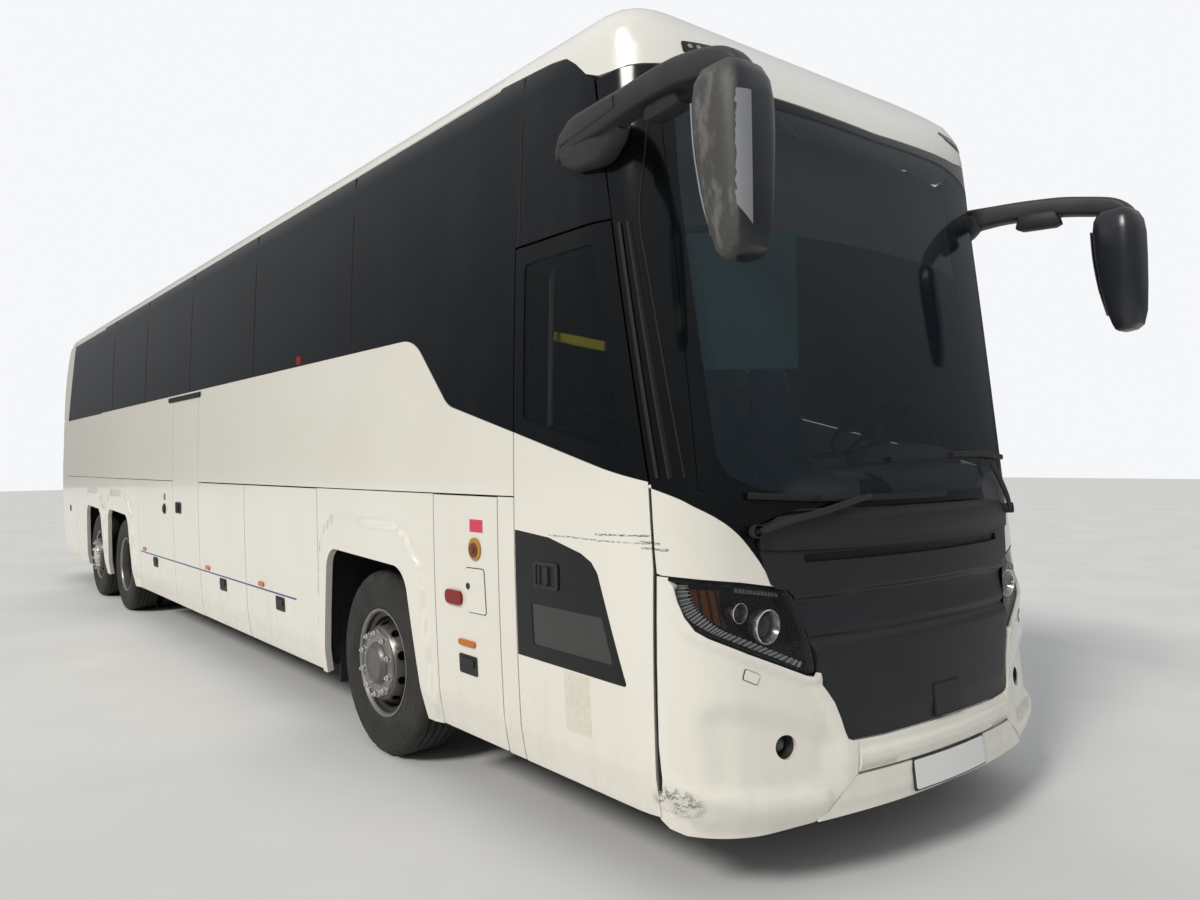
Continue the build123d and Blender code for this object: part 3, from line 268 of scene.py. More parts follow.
# Finishes
def paintFinish(name, colour=(0.80, 0.775, 0.70), marks=None):
    g = Finish(name)
    place = g.place()
    x, y, z = g.axes(place)
    cloud = g.noise(place, 1.3, 4.0)
    streaks = g.noise(g.stretched(place, (7.0, 7.0, 0.55)), 1.6, 5.0, 0.6)
    specks = g.noise(place, 150.0, 2.0)
    low = 1.0 - z.between(0.28, 1.05)
    grime = (low * (streaks.between(0.40, 0.80) * 0.55 + 0.06) + streaks.between(0.60, 0.85) * 0.05).held()
    base = g.mixed(cloud.between(0.3, 0.7), colour, tuple(c * f for c, f in zip(colour, (0.965, 0.965, 0.955))))
    base = g.mixed(grime * 0.30, base, (0.42, 0.38, 0.31))
    base = g.mixed((specks > 0.71) * 0.25 * low, base, (0.20, 0.18, 0.16))
    rough = 0.20 + grime * 0.34 + cloud * 0.06
    height = g.noise(place, 26.0, 1.0) * 0.3
    if marks:
        base, rough, height = marks(g, place, (x, y, z), base, rough, height)
    return g.done(g.shine(Base_Color=base, Roughness=rough, Coat_Weight=0.5, Coat_Roughness=0.06,
                          Normal=g.bump(height, 0.10, 0.002)))


def scratchBand(g, place, x, z, start, end, height, slope, width):
    # a ragged dark scratch that runs along the side from start to end
    wobble = g.noise(place, 34.0, 2.0) - 0.5
    off = (z - height - (x - start) * slope + wobble * 0.008).size()
    broken = g.noise(g.stretched(place, (9.0, 9.0, 90.0)), 6.0, 3.0)
    return (1.0 - off.between(width * 0.4, width)) * (x > start) * (1.0 - (x > end)) * broken.between(0.40, 0.55)


def frontMarks(g, place, axes, base, rough, height):
    x, y, z = axes
    nearSide = 1.0 - (y > -1.05)
    scratch = scratchBand(g, place, x, z, frontAxle + 1.70, frontAxle + 2.265, 1.326, -0.008, 0.0040)
    for band in ((2.010, 2.265, 1.346, 0.020, 0.0050), (2.236, 2.325, 1.305, -0.050, 0.0060),
                 (2.228, 2.300, 1.330, -0.100, 0.0060)):
        scratch = scratch + scratchBand(g, place, x, z, frontAxle + band[0], frontAxle + band[1], *band[2:])
    scratch = (scratch * nearSide).held()
    patch = ((x > frontAxle + 1.782) * (1.0 - (x > frontAxle + 1.952)) * (z > 0.545)
             * (1.0 - (z > 0.785)) * nearSide)
    residue = patch * (0.45 + g.noise(place, 60.0, 4.0, 0.7).between(0.35, 0.6) * 0.55)
    scuffX = x - (frontAxle + 2.362)
    scuffZ = z - 0.398
    spread = (scuffX * scuffX * 0.45 + scuffZ * scuffZ) / 0.0050
    ragged = g.noise(place, 26.0, 6.0, 0.75)
    scuff = ((1.0 - spread.between(0.15, 1.0)) * nearSide * ragged.between(0.47, 0.56)).held()
    base = g.mixed(residue * 0.6, base, (0.60, 0.55, 0.43))
    base = g.mixed(scuff * 0.85, base, (0.13, 0.125, 0.12))
    base = g.mixed(scratch * 0.9, base, (0.05, 0.05, 0.05))
    rough = (rough + residue * 0.3 + scuff * 0.5).held()
    return base, rough, height + scuff * -1.2 + residue * 0.25


def glossBlack(name, colour=(0.010, 0.011, 0.013), rough=0.06):
    g = Finish(name)
    place = g.place()
    smear = g.noise(g.stretched(place, (2.0, 2.0, 0.6)), 2.4, 4.0)
    base = g.mixed(smear.between(0.45, 0.8) * 0.5, colour, tuple(c + 0.006 for c in colour))
    return g.done(g.shine(Base_Color=base, Roughness=rough + smear * 0.08, Specular_IOR_Level=0.30))


def mattePlastic(name, colour=(0.040, 0.041, 0.043), grain=420.0, rough=0.52, wear=0.5):
    g = Finish(name)
    place = g.place()
    fine = g.noise(place, grain, 2.0)
    faded = g.noise(g.stretched(place, (1.0, 1.0, 0.5)), 2.2, 5.0, 0.6)
    pale = tuple(min(1.0, c * 1.9 + 0.01) for c in colour)
    base = g.mixed(faded.between(0.35, 0.8) * wear, colour, pale)
    return g.done(g.shine(Base_Color=base, Roughness=rough + faded * 0.12, Specular_IOR_Level=0.32,
                          Normal=g.bump(fine, 0.25, 0.0008)))


def metalFinish(name, colour=(0.42, 0.41, 0.39), rough=0.34, metallic=0.85, dirt=0.5, axle=None):
    g = Finish(name)
    place = g.place()
    blotch = g.noise(place, 9.0, 6.0, 0.65)
    fine = g.noise(place, 160.0, 2.0)
    soiled = blotch.between(0.42, 0.68) * dirt
    base = g.mixed(soiled, colour, (0.075, 0.062, 0.050))
    if axle is not None:                  # a wheel: painted shade darkens the recessed cone and barrel of the disc, the flange is left bright
        x, _, z = g.axes(place)
        offX, offZ = x - axle, z - tyreRadius
        square = offX * offX + offZ * offZ
        recessShade = square.between(0.188**2, 0.205**2) * (1.0 - square.between(0.270**2, 0.284**2))
        # painted shade: the recessed part of the disc, between the nut ring and the flange, is mixed towards
        # near-black
        base = g.mixed(recessShade * 0.85, base, (0.045, 0.041, 0.037))
    return g.done(g.shine(Base_Color=base, Roughness=rough + soiled * 0.45, Metallic=metallic - soiled * 0.6,
                          Normal=g.bump(fine, 0.12, 0.0008)))


def tyreFinish():
    g = Finish("tyreRubber")
    place = g.place()
    dusty = g.noise(place, 6.0, 6.0, 0.7)
    fine = g.noise(place, 130.0, 2.0)
    base = g.mixed(dusty.between(0.35, 0.75) * 0.8, (0.014, 0.014, 0.014), (0.042, 0.039, 0.034))
    return g.done(g.shine(Base_Color=base, Roughness=0.68 + dusty * 0.2, Normal=g.bump(fine, 0.3, 0.0010)))


def headFinish(name):
    # mirror head: scuffed outer side painted paler grey as its sunlit side, a pale strip at the corner, and a front
    # painted dark as its shaded side
    g = Finish(name)
    place = g.place()
    x, y, z = g.axes(place)
    across = (x - (noseX + 0.155)) * 0.62 + (y + 1.375) * 0.78
    near = 1.0 - (y > 0.0)
    ragged = (g.noise(place, 30.0, 6.0, 0.75) - 0.5) * 0.034
    foot = (across - 0.036) * -1.2 + 2.318
    strip = ((across + ragged) > -0.016) * (1.0 - (across > 0.034)) * (z > foot) * (1.0 - (z > 2.718)) * near
    outer = (1.0 - across.between(-0.03, 0.0)) * near
    worn = g.noise(g.stretched(place, (1.0, 1.0, 0.35)), 26.0, 6.0, 0.7).between(0.48, 0.66) * outer
    # painted light: on the near head the outer side is painted paler (its sunlit side) and the front darker (its
    # shaded side); the scuffs laid over it are real wear
    base = g.mixed(outer * 0.9, (0.016, 0.018, 0.022), (0.062, 0.060, 0.057))
    base = g.mixed(worn * 0.55, base, (0.19, 0.185, 0.175))
    base = g.mixed(strip, base, (0.215, 0.222, 0.238))
    fine = g.noise(place, 260.0, 2.0)
    rough = 0.26 + outer * 0.26 + worn * 0.15 + strip * 0.2
    return g.done(g.shine(Base_Color=base, Roughness=rough, Normal=g.bump(fine + worn * 1.5, 0.25, 0.0010)))


def fabricFinish(name, colour, second):
    g = Finish(name)
    place = g.place()
    x, y, z = g.axes(place)
    weave = (x * 900.0).wave() * (y * 900.0 + z * 900.0).wave()
    fleck = g.node("ShaderNodeTexVoronoi", None, {"Vector": place, "Scale": 42.0})
    base = g.mixed(fleck.between(0.12, 0.34), second, colour)
    return g.done(g.shine(Base_Color=base, Roughness=0.86 + fleck * 0.1, Sheen_Weight=0.35,
                          Normal=g.bump(weave, 0.3, 0.0012)))


def glassFinish(name, tint, alpha, mirroring=0.34):
    g = Finish(name)
    place = g.place()
    film = g.noise(g.stretched(place, (1.2, 1.2, 0.5)), 3.0, 5.0, 0.6)
    base = g.mixed(film.between(0.45, 0.85) * 0.5, tint, tuple(c + 0.012 for c in tint))
    shader = g.shine(Base_Color=base, Roughness=0.02 + film * 0.03, Alpha=alpha, Specular_IOR_Level=mirroring)
    g.material.surface_render_method = "BLENDED"
    return g.done(shader)


def lampColour(name, colour, rough=0.12):
    g = Finish(name)
    place = g.place()
    ribs = g.node("ShaderNodeTexVoronoi", None, {"Vector": place, "Scale": 130.0})
    base = g.mixed(ribs * 0.6, colour, tuple(c * 0.55 for c in colour))
    return g.done(g.shine(Base_Color=base, Roughness=rough + ribs * 0.05, Specular_IOR_Level=0.3,
                          Normal=g.bump(ribs, 0.25, 0.0015)))


finishes = {
    "white": paintFinish("creamPaint"),
    "frontWhite": paintFinish("creamPaintFront", marks=frontMarks),
    "dome": paintFinish("domePaint", colour=(0.80, 0.785, 0.735)),
    "mask": mattePlastic("charcoalMask", (0.015, 0.016, 0.018), 380.0, 0.44, 0.30),
    "black": glossBlack("glossBlack", (0.004, 0.005, 0.006)),
    "rubber": mattePlastic("sealRubber", (0.012, 0.012, 0.013), 260.0, 0.6, 0.3),
    "plastic": mattePlastic("blackPlastic", (0.022, 0.022, 0.023), 300.0, 0.5, 0.4),
    "mirror": mattePlastic("mirrorShell", (0.030, 0.031, 0.033), 300.0, 0.42, 0.6),
    "sideGlass": glassFinish("tintedSideGlass", (0.003, 0.004, 0.006), 0.95),
    "doorGlass": glassFinish("doorGlass", (0.008, 0.010, 0.012), 0.46),
    "screenGlass": glassFinish("screenGlass", (0.010, 0.022, 0.032), 0.34, mirroring=0.95),
    "clear": glassFinish("lampCover", (0.03, 0.03, 0.032), 0.22),
    "tyre": tyreFinish(),
    "rim": metalFinish("wheelSteel", (0.27, 0.262, 0.245), 0.34, 0.80, 0.50),
    "rimFront": metalFinish("wheelSteelFront", (0.30, 0.292, 0.275), 0.34, 0.80, 0.40, axle=frontAxle),
    "rimDrive": metalFinish("wheelSteelDrive", (0.30, 0.292, 0.275), 0.34, 0.80, 0.40, axle=driveAxle),
    "rimTag": metalFinish("wheelSteelTag", (0.30, 0.292, 0.275), 0.34, 0.80, 0.40, axle=tagAxle),
    "chrome": metalFinish("brightMetal", (0.72, 0.72, 0.72), 0.12, 1.0, 0.10),
    "frame": mattePlastic("chassisPaint", (0.018, 0.018, 0.018), 90.0, 0.66, 0.8),
    "cast": metalFinish("castIron", (0.10, 0.09, 0.08), 0.62, 0.6, 0.8),
    "vinyl": mattePlastic("floorVinyl", (0.085, 0.088, 0.095), 240.0, 0.55, 0.5),
    "dash": mattePlastic("dashPlastic", (0.055, 0.056, 0.060), 340.0, 0.56, 0.3),
    "seat": fabricFinish("seatWeave", (0.030, 0.040, 0.085), (0.075, 0.055, 0.050)),
    "amber": lampColour("amberLens", (0.62, 0.16, 0.015)),
    "amberDeep": lampColour("amberReflector", (0.20, 0.052, 0.010), 0.2),
    "red": lampColour("redLens", (0.26, 0.008, 0.007)),
    "gold": lampColour("goldRing", (0.50, 0.27, 0.05), 0.3),
    "yellow": mattePlastic("gripYellow", (0.90, 0.84, 0.03), 200.0, 0.5, 0.2),
    "plate": mattePlastic("blankPlate", (0.74, 0.74, 0.73), 300.0, 0.35, 0.1),
    "blue": mattePlastic("stripeBlue", (0.035, 0.055, 0.20), 300.0, 0.4, 0.3),
    "bowl": glossBlack("lampBowl", (0.012, 0.013, 0.015), 0.22),
    "ledRow": lampColour("clearRow", (0.36, 0.37, 0.375), 0.10),
    "paleRib": mattePlastic("paleRib", (0.60, 0.61, 0.62), 200.0, 0.3, 0.2),
    "lens": glossBlack("lampLens", (0.10, 0.11, 0.12), 0.03),
    "mirrorShell": headFinish("scuffedShell"),
    "mirrorGlass": metalFinish("mirrorGlass", (0.60, 0.62, 0.63), 0.04, 1.0, 0.05),
    "lowPane": glossBlack("lowPane", (0.045, 0.047, 0.044), 0.10),
    "rail": metalFinish("handRail", (0.30, 0.31, 0.32), 0.35, 0.6, 0.2),
    "teal": mattePlastic("blindTeal", (0.020, 0.075, 0.080), 200.0, 0.6, 0.2),
    "pinkMark": mattePlastic("bareMark", (0.62, 0.05, 0.10), 300.0, 0.4, 0.2),
    "brownCore": mattePlastic("valveCore", (0.16, 0.045, 0.02), 200.0, 0.4, 0.4),
    "capMetal": metalFinish("capMetal", (0.16, 0.155, 0.145), 0.38, 0.7, 0.35),
    "nut": metalFinish("brightNuts", (0.74, 0.73, 0.70), 0.24, 0.90, 0.12),
}
slotFinish = {"white_paint": "white", "door_paint": "frontWhite", "dark_mask": "mask", "black_gloss": "black",
              "black_plastic": "plastic", "side_glass": "sideGlass", "screen_glass": "screenGlass",
              "lamp_lens": "clear", "mirror_housing": "mirror", "tyre": "tyre", "rim_steel": "rim",
              "frame_paint": "frame", "cast_metal": "cast", "floor_vinyl": "vinyl", "spring_rubber": "rubber",
              "dash_plastic": "dash", "seat_fabric": "seat", "dark_steel": "cast"}
print("finishes made:", len(finishes))


def dressFrame():
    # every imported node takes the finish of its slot
    slots = {part["node"]: part["slot"] for part in frame["record"]["parts"]} if "parts" in frame["record"] else {}
    for name, obj in frame["nodes"].items():
        kind = slots.get(name)
        for holder in obj.material_slots:
            word = kind or holder.material.name
            key = next((slotFinish[s] for s in slotFinish if word.startswith(s)), "white")
            holder.material = finishes[key]


dressFrame()


# Body form: how far a point lies outside the coach's skin (negative inside)
bodyForm = {"noseHeight": 0.600, "lean": 0.113, "noseRadius": 2.950, "noseCorner": 0.420, "tailCorner": 0.260,
            "crownHalf": 1.170, "crownDrop": 0.418, "coveSoftness": 0.07, "domeSoftness": 0.10, "tailSoftness": 0.10}


def bow(z, low, middle, high):            # parabola through three (height, half width) points
    (z0, w0), (z1, w1), (z2, w2) = low, middle, high
    return (w0 * (z - z1) * (z - z2) / ((z0 - z1) * (z0 - z2)) + w1 * (z - z0) * (z - z2) / ((z1 - z0) * (z1 - z2))
            + w2 * (z - z0) * (z - z1) / ((z2 - z0) * (z2 - z1)))


def halfWidthAt(z):
    skirt = np.interp(z, (0.25, 0.34, 0.48), (1.195, 1.222, 1.248))
    waist = bow(z, (0.48, 1.248), (0.95, 1.268), (1.50, 1.275))
    glass = bow(z, (1.50, 1.275), (2.40, 1.258), (3.30, 1.215))
    return np.where(z < 0.48, skirt, np.where(z < 1.50, waist, glass))


def circleThrough(p, q, r):
    (ax, ay), (bx, by), (cx, cy) = p, q, r
    d = 2 * (ax * (by - cy) + bx * (cy - ay) + cx * (ay - by))
    ux = ((ax**2 + ay**2) * (by - cy) + (bx**2 + by**2) * (cy - ay) + (cx**2 + cy**2) * (ay - by)) / d
    uy = ((ax**2 + ay**2) * (cx - bx) + (bx**2 + by**2) * (ax - cx) + (cx**2 + cy**2) * (bx - ax)) / d
    return ux, uy, math.hypot(ax - ux, ay - uy)


def softMeet(a, b, softness):             # the greater of two gaps, blended where they are near
    near = np.maximum(softness - np.abs(a - b), 0.0) / softness
    return np.maximum(a, b) + near * near * softness / 4


def roundMeet(a, b, radius):              # two faces that meet in a fillet
    return np.minimum(-radius, np.maximum(a, b)) + np.hypot(np.maximum(a + radius, 0), np.maximum(b + radius, 0))


crownRadius = (bodyForm["crownHalf"]**2 + bodyForm["crownDrop"]**2) / 2 / bodyForm["crownDrop"]
domeCircle = circleThrough((frontAxle + 1.30, roofTop), (noseX - 0.74, 3.505), (noseX - 0.28, 3.07))
tailCircle = circleThrough((tailX + 0.10, 2.50), (tailX + 0.27, 3.13), (tailX + 0.72, 3.56))
tailHeights = [0.25, 0.80, 1.50] + list(np.linspace(2.50, 3.56, 12)) + [roofTop, roofTop + 0.4]
tailReach = ([tailX + 0.15, tailX, tailX + 0.03]
             + [tailCircle[0] - math.sqrt(max(tailCircle[2]**2 - (h - tailCircle[1])**2,
                                              0)) for h in tailHeights[3:15]]
             + [tailX + 1.50, tailX + 2.80])


def skinGap(x, y, z):
    side = np.abs(y)
    half = halfWidthAt(z)
    nose = noseX + bodyForm["lean"] * (bodyForm["noseHeight"] - z)
    sag = half**2 / 2 / bodyForm["noseRadius"]
    radius = (half**2 + sag**2) / 2 / sag
    middle = nose - radius
    corner = bodyForm["noseCorner"]
    cornerY = half - corner
    cornerX = middle + np.sqrt((radius - corner)**2 - cornerY**2)
    flat = np.maximum(np.hypot(np.maximum(x - middle, 0), side) - radius, side - half)
    turned = np.hypot(x - cornerX, side - cornerY) - corner
    inCorner = (x > cornerX) & (side > cornerY) & ((side - cornerY) * (cornerX - middle) > (x - cornerX) * cornerY)
    plan = np.where(inCorner, turned, flat)
    crown = np.hypot(side, np.maximum(z - roofTop + crownRadius, 0)) - crownRadius
    gap = softMeet(plan, crown, bodyForm["coveSoftness"])
    dome = np.hypot(np.maximum(x - domeCircle[0], 0), np.maximum(z - domeCircle[1], 0)) - domeCircle[2]
    gap = softMeet(gap, dome, bodyForm["domeSoftness"])
    tail = np.interp(z, tailHeights, tailReach) - x
    return np.where(x < tailX + 3.2, softMeet(roundMeet(tail, side - half, bodyForm["tailCorner"]), gap,
                                              bodyForm["tailSoftness"]), gap)


# Views: how two flat coordinates land on the skin
viewSpan = {"right": (0.30, 1.80), "left": (0.30, 1.80), "front": (noseX - 2.4, noseX + 0.5),
            "top": (2.60, roofTop + 0.40)}


def viewPoint(view, a, b, depth):
    if view == "right":
        return a, -depth, b
    if view == "left":
        return a, depth, b
    if view == "front":
        return depth, a, b
    return a, b, depth


def bisected(near, far, steps, isNear):
    # closes in on the place where isNear turns from true to false
    for _ in range(steps):
        middle = (near + far) / 2
        held = isNear(middle)
        near, far = np.where(held, middle, near), np.where(held, far, middle)
    return (near + far) / 2


def gapAt(points):
    return skinGap(*np.moveaxis(points, -1, 0))


def outward(points, step):                # direction in which the skin faces
    lean = np.stack([gapAt(points + shift) - gapAt(points - shift) for shift in np.eye(3) * step], axis=-1)
    return lean / np.linalg.norm(lean, axis=-1, keepdims=True)


def onSkin(view, a, b, lift=0.0):
    a, b, lift = np.broadcast_arrays(np.asarray(a, float), np.asarray(b, float), np.asarray(lift, float))
    inner, outer = (np.full(a.shape, value) for value in viewSpan[view])
    depth = bisected(inner, outer, 36, lambda middle: skinGap(*viewPoint(view, a, b, middle)) < lift)
    return np.stack(viewPoint(view, a, b, depth), axis=-1)


def alongRays(start, way, near, far, lift, steps):
    # where rays from start pass through the skin
    reach = bisected(near, far, steps, lambda middle: gapAt(start + way * middle[..., None]) < lift)
    return start + way * reach[..., None]


def skinAt(view, a, b, lift=0.0):         # one point on the skin and its outward direction
    here = onSkin(view, a, b, lift)
    return Vector(here), Vector(outward(here, 0.01))


# Outlines
def rounded(points, radii, steps=7):
    # radii: one radius for every corner, or a radius for each numbered corner
    made = []
    count = len(points)
    for number, point in enumerate(points):
        radius = radii.get(number, 0) if isinstance(radii, dict) else radii
        if not radius:
            made.append(point)
            continue
        corner = Vector(point)
        before = (Vector(points[number - 1]) - corner).normalized()
        after = (Vector(points[(number + 1) % count]) - corner).normalized()
        angle = before.angle(after)
        reach = radius / math.tan(angle / 2)
        centre = corner + (before + after).normalized() * radius / math.sin(angle / 2)
        first = corner + before * reach - centre
        turn = (math.pi - angle) * (-1 if before.x * after.y - before.y * after.x > 0 else 1)
        for step in range(steps + 1):
            swing = turn * step / steps
            made.append((centre.x + first.x * math.cos(swing) - first.y * math.sin(swing),
                         centre.y + first.x * math.sin(swing) + first.y * math.cos(swing)))
    return made


def rectangle(a0, a1, b0, b1):
    return [(a0, b0), (a1, b0), (a1, b1), (a0, b1)]


def softRectangle(a0, a1, b0, b1, radii, steps=7):
    return rounded(rectangle(a0, a1, b0, b1), radii, steps)


def mixPoint(p, q, amount):
    return tuple(a * (1 - amount) + b * amount for a, b in zip(p, q))


def splinePoint(line, k, t):              # between points k and k + 1 of a smooth open line
    p0, p1, p2, p3 = (Vector(line[min(max(n, 0), len(line) - 1)]) for n in range(k - 1, k + 3))
    return 0.5 * ((2 * p1) + (p2 - p0) * t + (2 * p0 - 5 * p1 + 4 * p2 - p3) * t * t
                  + (3 * p1 - p0 - 3 * p2 + p3) * t**3)


def curved(points, steps=4):              # a smooth open line through the points
    return [tuple(splinePoint(points, k, step / steps)) for k in range(len(points) - 1)
            for step in range(steps)] + [tuple(points[-1])]


def ringAround(centre, radius, steps=24):
    return [(centre[0] + radius * math.cos(2 * math.pi * k / steps),
             centre[1] + radius * math.sin(2 * math.pi * k / steps)) for k in range(steps)]


def area2(points):
    return sum(p[0] * q[1] - q[0] * p[1] for p, q in zip(points, points[1:] + points[:1]))


def shrunk(points, amount):
    # moves an outline inwards by amount
    way = 1 if area2(points) > 0 else -1
    made = []
    for before, here, after in zip(points[-1:] + points[:-1], points, points[1:] + points[:1]):
        d1 = (Vector(here) - Vector(before)).normalized()
        d2 = (Vector(after) - Vector(here)).normalized()
        n1, n2 = Vector((-d1.y, d1.x)) * way, Vector((-d2.y, d2.x)) * way
        half = n1 + n2
        scale = amount * 2 / max(half.length_squared, 0.35)
        made.append((here[0] + half.x * scale, here[1] + half.y * scale))
    return made


def dense(points, cell):
    made = []
    for here, after in zip(points, points[1:] + points[:1]):
        pieces = max(1, math.ceil(math.dist(here, after) / cell))
        made += [(here[0] + (after[0] - here[0]) * k / pieces, here[1] + (after[1] - here[1]) * k / pieces)
                 for k in range(pieces)]
    return made


def within(a, b, outline):
    inside = np.zeros(a.shape, bool)
    for (x0, y0), (x1, y1) in zip(outline, outline[1:] + outline[:1]):
        if y0 == y1:
            continue
        crosses = (y0 > b) != (y1 > b)
        inside ^= crosses & (a < (x1 - x0) * (b - y0) / (y1 - y0) + x0)
    return inside


def edgeDistance(a, b, outline):          # distance from points to an outline
    best = np.full(a.shape, 9.0)
    for (x0, y0), (x1, y1) in zip(outline, outline[1:] + outline[:1]):
        dx, dy = x1 - x0, y1 - y0
        along = np.clip(((a - x0) * dx + (b - y0) * dy) / max(dx * dx + dy * dy, 1e-12), 0, 1)
        best = np.minimum(best, np.hypot(a - x0 - along * dx, b - y0 - along * dy))
    return best


def step01(value):
    t = np.clip(value, 0, 1)
    return t * t * (3 - 2 * t)


def inZone(a, b, outline, soft):          # 1 inside an outline, falling to 0 over soft outside it
    return np.where(within(a, b, outline), 1.0, 1.0 - step01(edgeDistance(a, b, outline) / soft))


# Meshes
class Shape:
    def __init__(self):
        self.points, self.faces, self.normals = [], [], []
        self.count = 0

    def add(self, points, faces, normals=None):
        points = [tuple(p) for p in points]
        self.points += points
        for face in faces:
            self.faces.append([self.count + k for k in face])
            self.normals.append(None if normals is None else [tuple(normals[k]) for k in face])
        self.count += len(points)

    def make(self, name, slot, finish, *replaces, body="coach", sharp=32.0):
        # one piece of a body, with its finish, in the place of the named nodes
        mesh = bpy.data.meshes.new(name)
        mesh.from_pydata(self.points, [], self.faces)
        mesh.update()
        mesh.materials.append(finishes[finish])
        mesh.polygons.foreach_set("use_smooth", [True] * len(mesh.polygons))
        if any(n is not None for n in self.normals):
            given = []
            for face, normal in zip(mesh.polygons, self.normals):
                given += normal if normal is not None else [tuple(face.normal)] * face.loop_total
            mesh.normals_split_custom_set(given)
        else:
            mesh.set_sharp_from_angle(angle=math.radians(sharp))
        made = bpy.data.objects.new(name, mesh)
        bpy.context.scene.collection.objects.link(made)
        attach(made, body)
        if replaces:
            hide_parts(*replaces)
        return made


straight, crossed, backwards = (0, 1, 2, 3), (0, 3, 2, 1), (3, 2, 1, 0)


def netFaces(rows, columns, roundRows=False, roundColumns=False, order=straight):
    # quads over a net of points; a round net joins its last row or column to its first
    faces = []
    for r in range(rows if roundRows else rows - 1):
        for c in range(columns if roundColumns else columns - 1):
            here, there, after = r * columns, (r + 1) % rows * columns, (c + 1) % columns
            quad = (here + c, here + after, there + after, there + c)
            faces.append([quad[k] for k in order])
    return faces


def swings(steps, turn=0.0):
    return [2 * math.pi * (k + turn) / steps for k in range(steps)]


def softRing(swing, power):               # point of a soft square, as fractions of its half sizes
    c, s = math.cos(swing), math.sin(swing)
    return math.copysign(abs(c) ** (2 / power), c), math.copysign(abs(s) ** (2 / power), s)


def triangulated(outline, holes, cell):
    rings = [dense(outline, cell)] + [dense(hole, cell) for hole in holes]
    flat = [p for ring in rings for p in ring]
    edges, start = [], 0
    for ring in rings:
        edges += [(start + k, start + (k + 1) % len(ring)) for k in range(len(ring))]
        start += len(ring)
    low = np.min(flat, axis=0)
    high = np.max(flat, axis=0)
    gridA, gridB = np.meshgrid(*(np.arange(low[k] + cell / 2, high[k], cell) for k in (0, 1)))
    gridA, gridB = gridA.ravel(), gridB.ravel()
    keep = within(gridA, gridB, rings[0])
    for ring in rings:
        keep &= edgeDistance(gridA, gridB, ring) > cell * 0.45
    for ring in rings[1:]:
        keep &= ~within(gridA, gridB, ring)
    inner = [Vector(p) for p in zip(gridA[keep], gridB[keep])]
    points, _, faces, *_ = delaunay_2d_cdt([Vector(p) for p in flat] + inner, edges, [], 1, 1e-6)
    flatPoints = np.array([(p.x, p.y) for p in points])
    middles = flatPoints[np.array(faces)].mean(axis=1)
    for ring in rings[1:]:
        inside = within(middles[:, 0], middles[:, 1], ring)
        faces = [face for face, gone in zip(faces, inside) if not gone]
        middles = middles[~inside]
    return flatPoints, [list(face) for face in faces]


def solidPatch(shape, outline, place, thick, holes=(), cell=0.06, flip=False):
    # place(a, b) gives points; the sheet is as thick as thick, inwards
    if area2(outline) < 0:
        outline = outline[::-1]
    flat, faces = triangulated(outline, holes, cell)
    a, b = flat[:, 0], flat[:, 1]
    step = 0.002
    outer = place(a, b)
    normal = np.cross(place(a + step, b) - place(a - step, b), place(a, b + step) - place(a, b - step))
    if flip:
        normal = -normal
        faces = [face[::-1] for face in faces]
    normal /= np.linalg.norm(normal, axis=1)[:, None] + 1e-12
    shape.add(outer, faces, normal)
    if not thick:
        return
    inner = outer - normal * thick
    shape.add(inner, [face[::-1] for face in faces], -normal)
    used = {}
    for face in faces:
        for k in range(3):
            used[(face[k], face[(k + 1) % 3])] = True
    rim = [edge for edge in used if (edge[1], edge[0]) not in used]
    points, quads = [], []
    for u, v in rim:
        start = len(points)
        points += [outer[v], outer[u], inner[u], inner[v]]
        quads.append([start, start + 1, start + 2, start + 3])
    shape.add(points, quads)


def skinPatch(shape, view, outline, thick, relief=None, holes=(), cell=0.08, lift=0.0):
    # a sheet that lies on the body's skin, drawn flat in a view
    def place(a, b):
        return onSkin(view, a, b, lift if relief is None else relief(a, b) + lift)
    solidPatch(shape, outline, place, thick, holes, cell, flip=view == "left")


arcTable = np.linspace(-1.27, 1.27, 600)
arcSkin = onSkin("front", arcTable, np.full(600, 1.2))
arcLength = np.concatenate([[0], np.cumsum(np.linalg.norm(np.diff(arcSkin, axis=0), axis=1))])
arcLength -= arcLength[300]


def frontPatch(shape, outline, thick, relief=None, holes=(), cell=0.035, lift=0.0):
    # like skinPatch in front view, with the cells measured along the curve of the nose
    def unrolled(points):
        return [(float(np.interp(y, arcTable, arcLength)), z) for y, z in points]

    def place(s, z):
        y = np.interp(s, arcLength, arcTable)
        return onSkin("front", y, z, lift if relief is None else relief(y, z) + lift)
    solidPatch(shape, unrolled(dense(outline, 0.05)), place, thick, [unrolled(dense(hole, 0.05)) for hole in holes],
               cell)


def boxAt(shape, centre, half):
    points = [[c + h * way for c, h, way in zip(centre, half, (i, j, k))]
              for i in (-1, 1) for j in (-1, 1) for k in (-1, 1)]
    shape.add(points, [[0, 1, 3, 2], [4, 6, 7, 5], [0, 4, 5, 1], [2, 3, 7, 6], [0, 2, 6, 4], [1, 5, 7, 3]])


